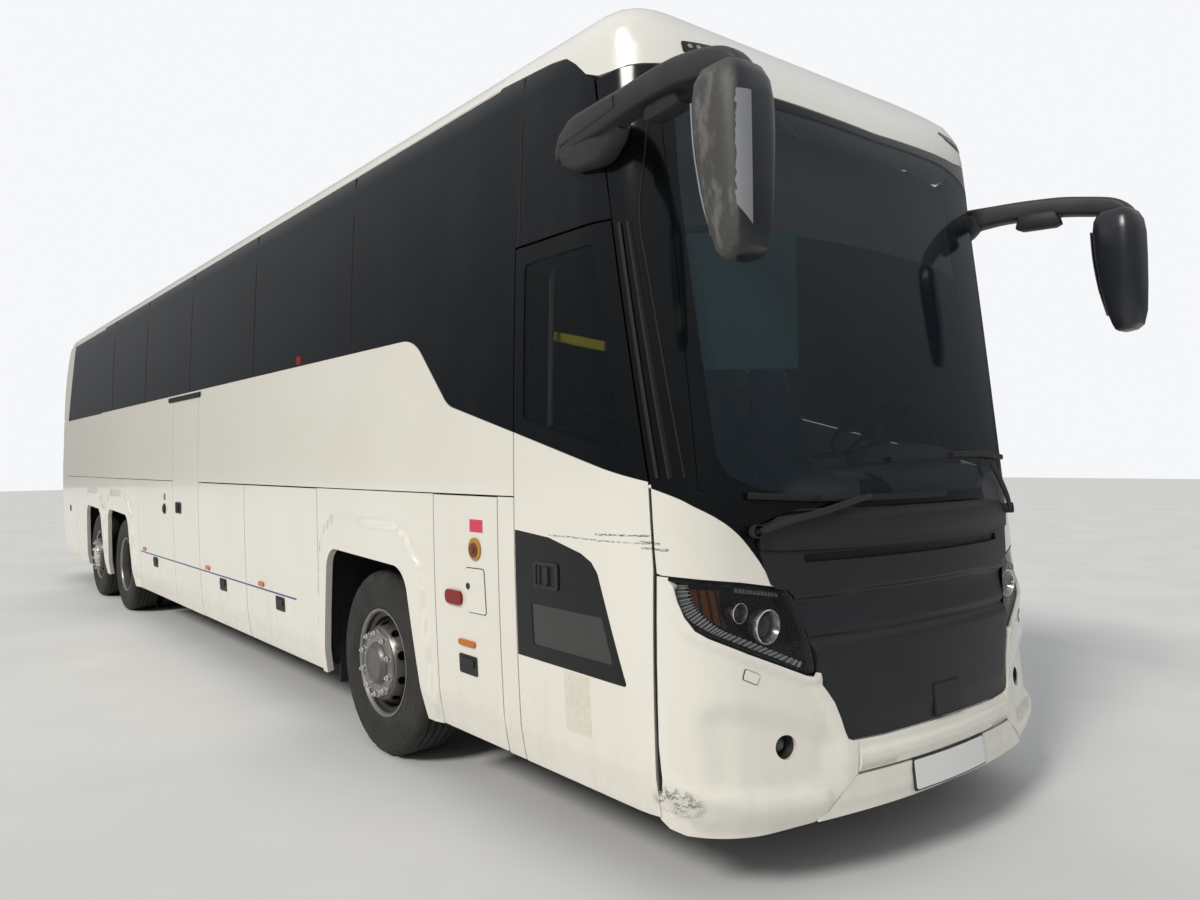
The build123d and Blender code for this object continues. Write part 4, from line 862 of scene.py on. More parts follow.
def sweptBar(shape, stations, sides=16, power=2.6, smooth=8):
    # stations: (centre, half across, half up); the section is a soft rectangle, and its ends are closed
    centres = [Vector(s[0]) for s in stations]
    sizes = [(s[1], s[2]) for s in stations]
    path, spans = [], []
    for k in range(len(centres) - 1):
        for step in range(smooth):
            t = step / smooth
            path.append(splinePoint(centres, k, t))
            ease = t * t * (3 - 2 * t)
            spans.append(tuple(sizes[k][i] * (1 - ease) + sizes[k + 1][i] * ease for i in (0, 1)))
    path.append(centres[-1])
    spans.append(sizes[-1])
    points = []
    upright = Vector((0, 0, 1))
    for k, here in enumerate(path):
        ahead = (path[min(k + 1, len(path) - 1)] - path[max(k - 1, 0)]).normalized()
        across = ahead.cross(upright)
        if across.length < 0.2:
            across = ahead.cross(Vector((1, 0, 0)))
        across.normalize()
        upNow = across.cross(ahead)
        for swing in swings(sides):
            u, v = softRing(swing, power)
            points.append(here + across * (u * spans[k][0]) + upNow * (v * spans[k][1]))
    last = (len(path) - 1) * sides
    shape.add(points, netFaces(len(path), sides, False, True, crossed) + [list(range(sides)),
            [last + j for j in range(sides)][::-1]])


def bothHands(patch, shape, outline, *sheet, holes=(), **details):
    # the same patch on the right and on the left
    for hand in hands:
        patch(shape, handed(outline, hand), *sheet, holes=[handed(hole, hand) for hole in holes], **details)


def frontPair(shape, *drawing, **details):
    bothHands(frontPatch, shape, *drawing, **details)


def onePiece(name, slot, finish, patch, *drawing, replaces=(), body="coach", sharp=32.0, **details):
    # a piece that one patch or bar makes
    shape = Shape()
    patch(shape, *drawing, **details)
    shape.make(name, slot, finish, *replaces, body=body, sharp=sharp)


def coachBar(shape, rows, hand=1, **section):
    # rows: place ahead of the front axle, y (times hand), height, half across, half up
    sweptBar(shape, [((frontAxle + x, hand * y, z), across, up) for x, y, z, across, up in rows], **section)


# Side outlines, as (x, z) in side view
seams = {"sill": 0.330, "waist": 1.475, "belt": 2.260, "glassTop": 3.300, "doorTop": 2.550, "midDoorTop": 2.205,
         "flapRear": frontAxle + 0.719, "flapFront": frontAxle + 1.313, "doorRear": frontAxle + 1.445,
         "archRear": frontAxle - 0.797, "lidSplit": frontAxle - 2.232, "midDoorFront": frontAxle - 3.463,
         "midDoorRear": frontAxle - 4.309, "rearArchFront": driveAxle + 0.869, "rearArchRear": tagAxle - 1.480,
         "domeRear": frontAxle + 1.270, "glassRear": tailX + 0.670, "wall": 0.040, "glass": 0.014, "gap": 0.005,
         "fixedGap": 0.003, "archProud": 0.019, "archBand": 0.190}
doorLine = [(frontAxle + 2.300, 0.330), (frontAxle + 2.284, 1.226), (frontAxle + 2.256, 1.550),
            (frontAxle + 2.075, seams["doorTop"])]
pillarTop = (frontAxle + 1.970, 3.140)
beltSweep = [(frontAxle + 0.500, seams["belt"]), (frontAxle + 0.860, 1.900), doorLine[2]]


def onLine(line, at):                     # second value of a line of points, at a first value
    return np.interp(at, [p[0] for p in line], [p[1] for p in line])


def doorLineX(z):
    return float(onLine([(high, x) for x, high in doorLine], z))


def sweepZ(x):                            # height of the belt line's falling sweep at a place along the side
    return float(onLine(beltSweep, x))


def archLine(axle, grow=0.0):
    low = seams["sill"] - 0.15
    return rounded([(axle - 0.755 - 0.4 * grow, low), (axle - 0.600 - 0.7 * grow, 1.120 + grow),
                    (axle + 0.420 + 0.7 * grow, 1.080 + grow), (axle + 0.615 + 0.4 * grow, low)],
                   {1: 0.140 + grow, 2: 0.160 + grow}, 10)


def archRelief(axles):
    bands = [archLine(axle, seams["archBand"]) for axle in axles]

    def relief(a, b):
        raised = np.zeros(np.shape(a))
        for band in bands:
            raised = np.maximum(raised, inZone(a, b, band, 0.022))
        return raised * seams["archProud"]
    return relief


def cutByArches(x0, x1, axles):
    # a lower panel's outline that runs round its wheel openings
    outline = [(x0, seams["waist"] - seams["fixedGap"]), (x0, seams["sill"])]
    for axle in sorted(axles):
        arch = archLine(axle)
        rear, fore = ((foot[0] + (above[0] - foot[0]) / (above[1] - foot[1]) * (seams["sill"] - foot[1]),
                       seams["sill"]) for foot, above in ((arch[0], arch[1]), (arch[-1], arch[-2])))
        outline += [rear, *arch[1:-1], fore]
    outline += [(x1, seams["sill"]), (x1, seams["waist"] - seams["fixedGap"])]
    return outline


def makeLowerSides():
    gap = seams["fixedGap"]
    for side in ("right", "left"):
        for name, x0, x1, axles, cell, node in (
                ("frontArch", seams["archRear"], seams["flapRear"], [frontAxle], 0.035, "front_arch_panels"),
                ("rearArches", seams["rearArchRear"], seams["rearArchFront"], [driveAxle, tagAxle], 0.04,
                 "rear_arch_panels")):
            panel = cutByArches(x0 + gap, x1 - gap, axles)
            onePiece(f"{name}_{side}", "white_paint", "white", skinPatch, side, panel, seams["wall"],
                     archRelief(axles), cell=cell, replaces=[node] if side == "right" else [])
    fixed = Shape()
    for x0, x1 in ((seams["flapFront"], seams["doorRear"]), (seams["rearArchFront"], seams["midDoorRear"])):
        skinPatch(fixed, "right", shrunk(rectangle(x0, x1, seams["sill"], seams["waist"]), gap), seams["wall"])
    driverPanel = [(seams["flapRear"], seams["waist"]), (seams["flapRear"], seams["sill"]),
                   (doorLineX(seams["sill"]), seams["sill"]), doorLine[1],
                   (doorLineX(seams["waist"]), seams["waist"])]
    skinPatch(fixed, "left", shrunk(driverPanel, gap), seams["wall"])
    fixed.make("sidePanels", "white_paint", "white", "side_panels")


def makeLids():
    gap = seams["gap"]
    lids = [("luggage_lid_right_front", "right", seams["lidSplit"], seams["archRear"]),
            ("luggage_lid_right_rear", "right", seams["midDoorFront"], seams["lidSplit"]),
            ("service_flap", "right", seams["flapRear"], seams["flapFront"])]
    start, end, count = seams["rearArchFront"], seams["archRear"], 3
    for number in range(count):
        lids.append((f"luggage_lid_left_{number + 1}", "left", start + (end - start) * number / count,
                     start + (end - start) * (number + 1) / count))
    for name, side, x0, x1 in lids:
        lid = Shape()
        outline = shrunk(rectangle(x0, x1, seams["sill"], seams["waist"] - 0.001), gap)
        skinPatch(lid, side, rounded(outline, {0: 0.012, 1: 0.012, 2: 0.008, 3: 0.008}, 3), seams["wall"])
        lid.make(f"lid_{name}", "white_paint", "white", name, body=name)


def makeUpperSides():
    gap = seams["fixedGap"]
    walls = Shape()
    doorRear = seams["doorRear"]
    sweep = rounded([(tailX + 0.16, seams["belt"]), *beltSweep], {1: 0.30, 2: 0.18}, 10)
    rightTop = [p for p in sweep if p[0] < doorRear]
    rightTop.append((doorRear - gap, sweepZ(doorRear - gap)))
    low = seams["waist"] + gap
    right = rightTop + [(doorRear - gap, low), (seams["midDoorFront"] + gap, low),
                        (seams["midDoorFront"] + gap, seams["midDoorTop"] + gap),
                        (seams["midDoorRear"] - gap, seams["midDoorTop"] + gap),
                        (seams["midDoorRear"] - gap, low), (tailX + 0.16, low)]
    skinPatch(walls, "right", right, seams["wall"], cell=0.10)
    left = sweep[:-1] + [(doorLineX(1.555) - gap, 1.555), (doorLineX(low) - gap, low), (tailX + 0.16, low)]
    skinPatch(walls, "left", left, seams["wall"], cell=0.10)
    walls.make("upperWalls", "white_paint", "white", "upper_walls")


def sideGlassOutline(right):
    # bonded glass: over the belt, down the sweep, up the pillar line to the dome
    low = seams["belt"] + 0.004
    sweep = rounded([(seams["glassRear"], low), *[(x, z + 0.004) for x, z in beltSweep]], {1: 0.30, 2: 0.18}, 10)
    if right:
        doorRear, head = seams["doorRear"] - 0.004, seams["doorTop"] + 0.006
        return [p for p in sweep if p[0] < doorRear] + [(doorRear, sweepZ(doorRear)), (doorRear, head),
                                                        (doorLineX(seams["doorTop"]) - 0.004, head)]
    return sweep[:-1] + [(doorLineX(z) - 0.006, z) for z in (1.560, seams["doorTop"])]


domeFront = [(0.0, 3.048), (0.30, 3.062), (0.60, 3.080), (0.80, 3.090), (0.92, 3.112), (1.02, 3.145), (1.10, 3.155),
             (1.16, 3.157)]
domeSide = [(frontAxle + 1.257, 3.318), (frontAxle + 1.680, 3.292), (frontAxle + 1.790, 3.272),
            (frontAxle + 1.866, 3.213), (frontAxle + 1.930, 3.150), (frontAxle + 1.985, 3.137),
            (frontAxle + 2.035, 3.141), (frontAxle + 2.060, 3.152), (frontAxle + 2.100, 3.157)]


def makeSideGlass():
    panes = Shape()
    for side in ("right", "left"):
        top = [(pillarTop[0] - 0.010, pillarTop[1] - 0.012), *[(x, z - 0.006) for x, z in domeSide[3:0:-1]],
               (domeSide[0][0], 3.312), (seams["glassRear"] + 0.33, seams["glassTop"])]
        outline = sideGlassOutline(side == "right") + top
        skinPatch(panes, side, outline, seams["glass"], cell=0.10, lift=-0.001)
    panes.make("sideGlass", "side_glass", "sideGlass", "windows")
    joins = Shape()
    for side in ("right", "left"):
        for seam in (1.470, -0.310, -2.050, -3.770, -5.440, -7.100):
            x = frontAxle + seam
            low = seams["belt"] + 0.006
            if seam > 0.5:
                low = seams["doorTop"] + 0.01 if side == "right" else 1.80
            skinPatch(joins, side, rectangle(x - 0.005, x + 0.005, low, 3.296), 0.003, cell=0.3, lift=0.0006)
    joins.make("glassSeams", "side_glass", "rubber")


def makeRoof():
    roof = Shape()
    rear = tailX + 0.72
    half = 1.150
    skinPatch(roof, "top", rectangle(rear, seams["domeRear"] - 0.004, -half, half), 0.04, cell=0.12)
    for side in ("right", "left"):
        edge = onSkin("top", np.array([0.0]), np.array([half]))[0][2]
        skinPatch(roof, side, rectangle(rear, seams["domeRear"] - 0.004, 3.304, float(edge)), 0.04, cell=0.12)
    roof.make("roofPanel", "white_paint", "white", "roof")


def domeEdgeHeight(x, y):
    # height of the dome's lower edge: along the sides by x, across the front by y
    return np.where(x > domeSide[-1][0], onLine(domeFront, np.abs(y)), onLine(domeSide, x))


def makeDome():
    centre = np.array([seams["domeRear"], 0.0, 2.85])
    turns = 72
    rises = 26
    swing = np.linspace(-math.pi / 2, math.pi / 2, turns)

    def ray(angle, rise):
        way = np.stack([np.cos(rise) * np.cos(angle), np.cos(rise) * np.sin(angle), np.sin(rise)], axis=-1)
        return alongRays(centre, way, np.zeros(np.shape(rise)), np.full(np.shape(rise), 2.5), 0.0, 34)

    def isUnder(rise):
        p = ray(swing, rise)
        return p[:, 2] < domeEdgeHeight(p[:, 0], p[:, 1])
    base = bisected(np.full(turns, 0.05), np.full(turns, 1.2), 26, isUnder)
    grid = np.array([ray(swing, base + (math.pi / 2 - base) * k / (rises - 1)) for k in range(rises)])
    lean = outward(grid, 0.004)
    inner = grid - lean * 0.030
    faces = netFaces(rises, turns)
    dome = Shape()
    dome.add(grid.reshape(-1, 3), faces, lean.reshape(-1, 3))
    dome.add(inner.reshape(-1, 3), [f[::-1] for f in faces], -lean.reshape(-1, 3))
    rim = [k * turns for k in range(rises - 1, -1, -1)] + list(range(1, turns)) \
        + [k * turns + turns - 1 for k in range(1, rises)]
    outer, under = grid.reshape(-1, 3), inner.reshape(-1, 3)
    points = [outer[k] for k in rim] + [under[k] for k in rim]
    size = len(rim)
    dome.add(points, [[k, k + size, k + 1 + size, k + 1] for k in range(size - 1)])
    dome.make("frontDome", "white_paint", "dome", "front_dome")


makeLowerSides()
makeLids()
makeUpperSides()
makeSideGlass()
makeRoof()
makeDome()
print("sides, glass, roof and dome made")


def reachAt(x, z):                        # half width of the skin
    return abs(float(onSkin("right", x, z)[1]))


def doorEdge(z):                          # how far from the middle the front panels reach at a height
    return reachAt(doorLineX(z) + 0.003, z)


def handed(points, hand):
    return [(hand * y, z) for y, z in points]


def mirrored(points):                     # right half outline from the middle outwards and back, made whole
    return [(-y, z) for y, z in points] + [(y, z) for y, z in reversed(points)]


# Front outlines, as (distance from the middle, height)
front = {"wall": 0.030, "step": 0.014, "lampDepth": 0.075, "seam": 0.0035, "bumperLow": 0.255, "plateLow": 0.312,
         "plateTop": 0.448, "slotHalf": 0.700, "slotLow": 1.236, "slotTop": 1.276, "slotDepth": 0.024}
lampLine = [(1.186, 1.197), (1.176, 1.122), (1.162, 1.066), (1.137, 1.018), (1.100, 0.991), (1.059, 0.971),
            (0.975, 0.931), (0.844, 0.875), (0.735, 0.828), (0.706, 0.832), (0.698, 0.856), (0.703, 0.899),
            (0.713, 0.950), (0.740, 1.038), (0.768, 1.118), (0.788, 1.138), (0.838, 1.148), (0.973, 1.170),
            (1.093, 1.186)]
cheekTop = [(1.189, 1.511), (1.142, 1.482), (1.106, 1.456), (1.051, 1.422), (0.998, 1.384), (0.955, 1.343),
            (0.921, 1.298), (0.889, 1.250), (0.864, 1.205), (0.838, 1.153)]
maskSide = [(0.693, 0.835), (0.681, 0.789), (0.657, 0.756), (0.633, 0.719), (0.612, 0.661), (0.598, 0.608),
            (0.587, 0.580), (0.560, 0.570)]
maskFoot = [(0.400, 0.567), (0.200, 0.570), (0.0, 0.573)]
maskShoulder = [(0.853, 1.165), (0.874, 1.230), (0.886, 1.290)]
maskCap = [(0.892, 1.322), (0.884, 1.362), (0.856, 1.392), (0.800, 1.412), (0.650, 1.424), (0.420, 1.430),
           (0.0, 1.432)]
screenFoot = [(0.0, 1.438), (0.42, 1.438), (0.70, 1.436), (0.85, 1.446), (0.95, 1.466), (1.03, 1.492), (1.085, 1.520)]


def domeFrontZ(y):
    return float(onLine(domeFront, abs(y)))


def makeMask():
    lipSide = maskShoulder[-1]
    lip = [lipSide, (0.78, 1.284), (0.58, 1.279), (0.30, 1.277), (0.0, 1.276)]
    lampInner = [(y - 0.006, z) for y, z in lampLine[10:17]]
    half = lip[::-1] + maskShoulder[:-1][::-1] + lampInner[::-1] + maskSide + maskFoot
    lower = mirrored(half[::-1])
    slot = softRectangle(-front["slotHalf"], front["slotHalf"], front["slotLow"], front["slotTop"] - 0.008,
                         {0: 0.012, 1: 0.012, 2: 0.006, 3: 0.006}, 3)

    def grilleRelief(y, z):
        upperCrease = 1.130 - 0.040 * y * y
        lowerCrease = 0.960 - 0.024 * y * y
        lift = -0.018 * step01((upperCrease - z) / 0.020) * step01((z - lowerCrease + 0.02) / 0.15)
        lift = lift - 0.014 * np.exp(-np.square((z - lowerCrease) / 0.013))
        lift = lift + 0.010 * step01((lowerCrease - z) / 0.05) * step01((z - 0.57) / 0.10)
        edge = edgeDistance(np.abs(y), z, maskSide)
        return lift * step01(edge / 0.05) + 0.004
    mask = Shape()
    frontPatch(mask, lower, front["wall"], grilleRelief, [slot], cell=0.016)
    frontPatch(mask, rectangle(-front["slotHalf"] - 0.02, front["slotHalf"] + 0.02, front["slotLow"] - 0.02,
                               front["slotTop"] + 0.02), 0.006, lift=-front["slotDepth"], cell=0.05)
    cap = [(y, z + 0.002) for y, z in lip[::-1]] + maskCap

    def capRelief(y, z):
        return front["step"] + 0.006 * step01((z - 1.30) / 0.06) - 0.012 * step01((z - 1.395) / 0.03)
    frontPatch(mask, mirrored(cap[::-1]), front["wall"] + front["step"], capRelief, cell=0.03)
    mask.make("frontMask", "dark_mask", "mask", "front_mask")
    flap = softRectangle(-0.086, 0.086, 0.586, 0.706, {2: 0.008, 3: 0.008}, 3)
    onePiece("towFlap", "dark_mask", "mask", frontPatch, flap, 0.006, lift=0.0185, cell=0.03)
    onePiece("towFlapGap", "black_plastic", "rubber", frontPatch, rectangle(-0.092, 0.092, 0.580, 0.712), 0.005,
             lift=0.0168, cell=0.06)


def makeCheeks():
    cheeks, foot = Shape(), Shape()
    low = [(0.846, 1.156), (0.973, 1.178), (1.107, 1.194), (1.204, 1.208), (doorEdge(1.215), 1.215)]
    side = [(doorEdge(z), z) for z in (1.30, 1.40, 1.48, 1.538)]
    frontPair(cheeks, [(y - 0.002, z + 0.001) for y, z in low] + side + [(1.222, 1.533)] + curved(cheekTop, 3),
              0.034, cell=0.03, lift=0.001)
    cheeks.make("frontCheeks", "white_paint", "frontWhite", "front_cheeks")
    outline = curved([(y + 0.003, z) for y, z in cheekTop][::-1], 3) + [(1.085, 1.518)] + screenFoot[2:6][::-1] \
        + (maskShoulder + maskCap[:4])[::-1]
    frontPair(foot, outline, 0.02, cell=0.03, lift=-0.004)
    foot.make("screenShoulders", "black_gloss", "black")


def makeBumper():
    gap = front["seam"]
    bumper, fogRings, fogLenses = Shape(), Shape(), Shape()
    seamTop, seamLow = (0.548, 0.569), (0.553, front["plateTop"] - 0.004)
    fall = [(0.600, 0.412), (0.655, 0.372), (0.704, 0.330), (0.745, 0.296)]
    creaseLine = [(0.50, 0.450), (0.617, 0.400), (0.703, 0.362), (0.820, 0.372), (0.974, 0.390), (1.110, 0.400),
                  (1.166, 0.416), (1.228, 0.440)]
    bay = [(1.060, 0.665), (0.990, 0.655), (0.894, 0.625), (0.800, 0.590), (0.700, 0.545), (0.690, 0.500),
           (0.740, 0.475), (0.860, 0.470), (0.990, 0.480), (1.050, 0.505)]
    fog = {"y": 0.834, "z": 0.574, "radius": 0.044}

    def cornerRelief(y, z):
        side = np.abs(y)
        nearLamp = edgeDistance(side, z, lampLine)
        lift = 0.004 + 0.012 * (1 - step01((nearLamp - 0.018) / 0.034)) * (z < 1.20) * (side < 1.19)
        nearMask = edgeDistance(side, z, maskSide)
        lift = lift + 0.010 * (1 - step01((nearMask - 0.015) / 0.05)) * (side < 0.80)
        lift = lift - 0.024 * inZone(side, z, bay, 0.115)
        lift = lift + 0.010 * np.exp(-np.square((z - 0.505) / 0.045)) * (1 - step01((side - 0.62) / 0.10))
        below = onLine(creaseLine, side) - z
        lift = lift + 0.012 * np.exp(-np.square((below + 0.022) / 0.030)) * step01((side - 0.66) / 0.06) \
            * step01((1.232 - side) / 0.05)
        room = np.maximum(halfWidthAt(z) - side, 0.0) * 0.5
        return lift - np.minimum(0.060 * step01(below / 0.15) * step01((side - 0.52) / 0.06), room)
    for hand in hands:
        low = [(0.83, 0.286), (0.95, 0.270), (1.08, front["bumperLow"] + 0.003), (1.140, 0.268), (1.180, 0.290),
               (doorEdge(0.322), 0.322)]
        side = [(doorEdge(z), z) for z in (0.34, 0.45, 0.60, 0.75, 0.90, 1.05, 1.18, 1.206)]
        top = [(1.190, 1.202)]
        lampUnder = [(y + 0.006, z - 0.005) for y, z in lampLine[:9]] + [(0.712, 0.818)]
        mask = [(y + gap, z - gap * 0.5) for y, z in maskSide]
        outline = [seamTop, seamLow, *fall, *low, *side, *top, *lampUnder, *mask]
        ring = ringAround((fog["y"], fog["z"]), fog["radius"], 28)
        frontPatch(bumper, handed(outline, hand), front["wall"], cornerRelief, [handed(ring, hand)], cell=0.024)
        spot = Vector(onSkin("front", hand * fog["y"], fog["z"], -0.030))
        ahead = Vector((1.0, hand * 0.12, 0.0)).normalized()
        lampBarrel(fogRings, fogLenses, spot, ahead, fog["radius"] + 0.002, 0.046)

    def middleRelief(y, z):
        lift = 0.013 - 0.007 * (1 - step01((0.575 - z) / 0.03)) + 0.010 * np.exp(-np.square((z - 0.500) / 0.030))
        return lift - 0.006 * np.exp(-np.square((z - 0.532) / 0.010)) - 0.010 * (1 - step01((z - 0.452) / 0.014))
    inner = seamTop[0] - gap
    band = [(0.0, front["plateTop"] + 0.004), (inner + 0.002, front["plateTop"] + 0.001), (inner, 0.566),
            (0.40, 0.563), (0.20, 0.566), (0.0, 0.569)]
    frontPatch(bumper, mirrored(band), front["wall"], middleRelief, cell=0.022)

    def apronRelief(y, z):
        return 0.002 + 0.006 * step01((z - 0.40) / 0.04) - 0.012 * step01((0.36 - z) / 0.06)
    apron = [(0.0, front["plateTop"] - 0.003), (0.552, front["plateTop"] - 0.008), (0.604, 0.408), (0.704, 0.326),
             (0.738, 0.299), (0.55, 0.303), (0.0, front["plateLow"])]
    frontPatch(bumper, mirrored(apron), front["wall"], apronRelief, cell=0.03)
    bumper.make("frontBumper", "white_paint", "frontWhite", "front_bumper")
    fogRings.make("fogRings", "black_plastic", "plastic")
    fogLenses.make("fogLenses", "lamp_lens", "lens")
    onePiece("blankPlate", "white_paint", "plate", frontPatch, softRectangle(-0.255, 0.250, 0.332, 0.442, 0.008, 3),
             0.004, lift=0.014, cell=0.08)
    onePiece("plateHolder", "black_plastic", "plastic", frontPatch, rectangle(-0.262, 0.257, 0.326, 0.447), 0.008,
             lift=0.011, cell=0.08)
    quad = [(0.987, 0.872), (0.935, 0.847), (0.951, 0.815), (1.000, 0.838)]
    onePiece("washerCovers", "white_paint", "white", frontPair, rounded(quad, 0.005, 3), 0.008, lift=0.0085,
             cell=0.03)
    quad = [(0.989, 0.875), (0.932, 0.848), (0.949, 0.812), (1.003, 0.837)]
    onePiece("washerGaps", "black_plastic", "rubber", frontPair, rounded(quad, 0.006, 3), 0.004, lift=0.0058,
             cell=0.03)


def makeHeadlamps():
    floor, cells, ambers, chrome, lenses, covers, ribs = (Shape() for _ in range(7))
    rowOuter = [(1.172, 1.174), (1.157, 1.102), (1.131, 1.047), (1.087, 1.009), (1.040, 0.982), (0.950, 0.941),
                (0.852, 0.898), (0.739, 0.847)]
    rowInner = [(1.130, 1.172), (1.120, 1.115), (1.101, 1.074), (1.062, 1.028), (1.012, 0.996), (0.919, 0.954),
                (0.819, 0.908), (0.728, 0.867)]
    amber = [(1.112, 1.156), (1.022, 1.148), (1.026, 1.080), (1.006, 1.006), (1.052, 1.034), (1.086, 1.068),
             (1.104, 1.112)]
    frontPair(floor, shrunk(lampLine, 0.016), 0.004, lift=-front["lampDepth"], cell=0.05)
    frontPair(covers, shrunk(lampLine, 0.004), 0.003, lift=-0.003, cell=0.05)
    frontPair(ambers, amber, 0.010, lift=-0.040, cell=0.04)
    for k in range(3):                    # dark ribs over the amber reflector
        top, foot = (1.096 - 0.026 * k, 1.158), (1.088 - 0.030 * k, 1.050 - 0.018 * k)
        rib = [top, (top[0] - 0.007, top[1]), (foot[0] - 0.007, foot[1]), foot]
        frontPair(floor, rib, 0.006, lift=-0.034, cell=0.05)
    outer, nearer = curved(rowOuter, 5), curved(rowInner, 5)
    for k in range(len(outer) - 1):
        quad = [outer[k], outer[k + 1], nearer[k + 1], nearer[k]]
        quad = [mixPoint(p, np.mean(quad, axis=0), 0.10) for p in quad]
        frontPair(cells, quad, 0.014, lift=-0.022 - 0.004 * (k % 2), cell=0.05)
        rib = [outer[k], mixPoint(outer[k], outer[k + 1], 0.2), mixPoint(nearer[k], nearer[k + 1], 0.2), nearer[k]]
        frontPair(ribs, rib, 0.006, lift=-0.016, cell=0.05)
    for k in range(12):
        p, q = (mixPoint((0.80, 1.112), (0.975, 1.140), (k + part) / 12) for part in (0.15, 0.85))
        frontPair(cells, [p, q, (q[0], q[1] + 0.018), (p[0], p[1] + 0.018)], 0.010, lift=-0.028, cell=0.05)
    for hand in hands:
        rim = dense(handed(lampLine, hand), 0.03)
        rings = ((rim, 0.0), (shrunk(rim, 0.014), -0.018), (shrunk(rim, 0.014), -front["lampDepth"]))
        floor.add([onSkin("front", y, z, lift) for ring, lift in rings for y, z in ring],
                  netFaces(3, len(rim), False, True, backwards if area2(rim) < 0 else straight))
        for y, z, radius, length, depth in ((0.972, 1.066, 0.039, 0.046, -0.012),
                                            (0.868, 1.010, 0.066, 0.040, -0.010)):
            spot, lean = skinAt("front", hand * y, z, depth)
            ahead = Vector((1.0, hand * -0.10 + lean.y * 0.35, -0.02)).normalized()
            lampBarrel(chrome, lenses, spot, ahead, radius, length)
    floor.make("lampBowls", "black_plastic", "bowl", "headlights")
    cells.make("lampRows", "lamp_lens", "ledRow")
    ambers.make("turnLamps", "lamp_lens", "amberDeep")
    chrome.make("lampRings", "rim_steel", "chrome")
    ribs.make("lampRibs", "lamp_lens", "paleRib")
    lenses.make("lampLenses", "lamp_lens", "lens")
    covers.make("lampCovers", "lamp_lens", "clear")


def lampBarrel(rings, lenses, spot, ahead, radius, length):
    # a bright ring round a deep-set lens, looking along ahead
    across = ahead.cross(Vector((0, 0, 1))).normalized()
    upNow = across.cross(ahead)

    def lathe(shape, profile):
        ways = [across * math.cos(swing) + upNow * math.sin(swing) for swing in swings(40)]
        shape.add([spot + ahead * along + way * r for way in ways for along, r in profile],
                  netFaces(len(ways), len(profile), True, False, crossed))
    lathe(rings, [(-length - 0.010, radius * 0.92), (-0.004, radius), (0.0, radius * 0.98), (0.0, radius * 0.90),
                  (-0.006, radius * 0.86), (-length, radius * 0.66)])
    lathe(lenses, [(-length, radius * 0.67), (-length * 0.72, radius * 0.62), (-length * 0.50, radius * 0.45),
                   (-length * 0.38, radius * 0.22), (-length * 0.36, 0.0)])


def makeWindscreen():
    edge = 1.085
    rim = screenFoot + [(edge, z) for z in (1.56, 1.80, 2.10, 2.40, 2.70, 2.90)] \
        + [(y, domeFrontZ(y) - 0.006) for y in (edge, 0.85, 0.60, 0.30, 0.0)]
    clearHalf = [(0.0, 1.478), (0.45, 1.480), (0.70, 1.486), (0.86, 1.515), (0.98, 1.570), (1.015, 1.640),
                 (1.030, 1.900), (1.045, 2.300), (1.052, 2.700), (1.045, 2.930), (1.015, 2.985), (0.85, 3.020),
                 (0.60, 3.032), (0.30, 3.020), (0.0, 3.008)]
    border = Shape()
    clearRing = mirrored(clearHalf)
    frontPatch(border, mirrored(rim), 0.012, holes=[clearRing], cell=0.06, lift=-0.002)
    border.make("screenBorder", "black_gloss", "black")
    onePiece("windscreenPane", "screen_glass", "screenGlass", frontPatch, clearRing, 0.006, cell=0.07, lift=-0.003,
             replaces=["windscreen"])
    pillars = Shape()
    heights = [1.548, 1.70, 1.90, 2.10, 2.30, 2.50, 2.60, 2.80, 2.95, 3.06, 3.124]
    outerEdge = [(doorEdge(z) if z < 2.56 else doorEdgeUpper(z), z) for z in heights]
    outerEdge += [(reachAt(x, z - 0.005), z - 0.005) for x, z in domeSide[6:8]]
    outline = [(1.088, 1.524), (1.106, 1.459), (1.142, 1.486), (1.189, 1.515), (1.222, 1.538)] + outerEdge \
        + [(y, domeFrontZ(y) - 0.006) for y in (1.150, 1.088)]
    frontPair(pillars, outline, 0.03, cell=0.035, lift=-0.001)
    pillars.make("frontPillars", "black_gloss", "black", "front_pillars")
    ridges = Shape()
    for hand in hands:
        side = "right" if hand == rightHand else "left"
        for off, half, proud in ((0.028, 0.006, 0.010), (0.066, 0.016, 0.007), (0.100, 0.004, 0.004)):
            stations = []
            heights = (1.56, 1.75, 1.95, 2.15, 2.35, 2.53) if off < 0.09 else (1.56, 1.9, 2.3, 2.55, 2.80, 3.12)
            for z in heights:
                spot = Vector(onSkin(side, doorLineX(z) + off, z, proud * 0.4))
                stations.append((spot, half, proud))
            sweptBar(ridges, stations, sides=10, power=2.2, smooth=3)
    ridges.make("pillarRidges", "black_plastic", "rubber")


def doorEdgeUpper(z):                     # over the door the pillar follows its own line up to the dome
    x = float(np.interp(z, [seams["doorTop"], pillarTop[1]], [doorLine[-1][0], pillarTop[0]]))
    return reachAt(x + 0.003, z)


def barOnFront(shape, points, radius, lift, sides=8, smooth=4, flat=1.0):
    # a thin bar along (y, z) points, standing off the front by lift
    lifts = lift if isinstance(lift, (list, tuple)) else [lift] * len(points)
    sweptBar(shape, [(Vector(onSkin("front", y, z, h)), radius, radius * flat) for (y, z), h in zip(points, lifts)],
             sides=sides, power=2.0, smooth=smooth)


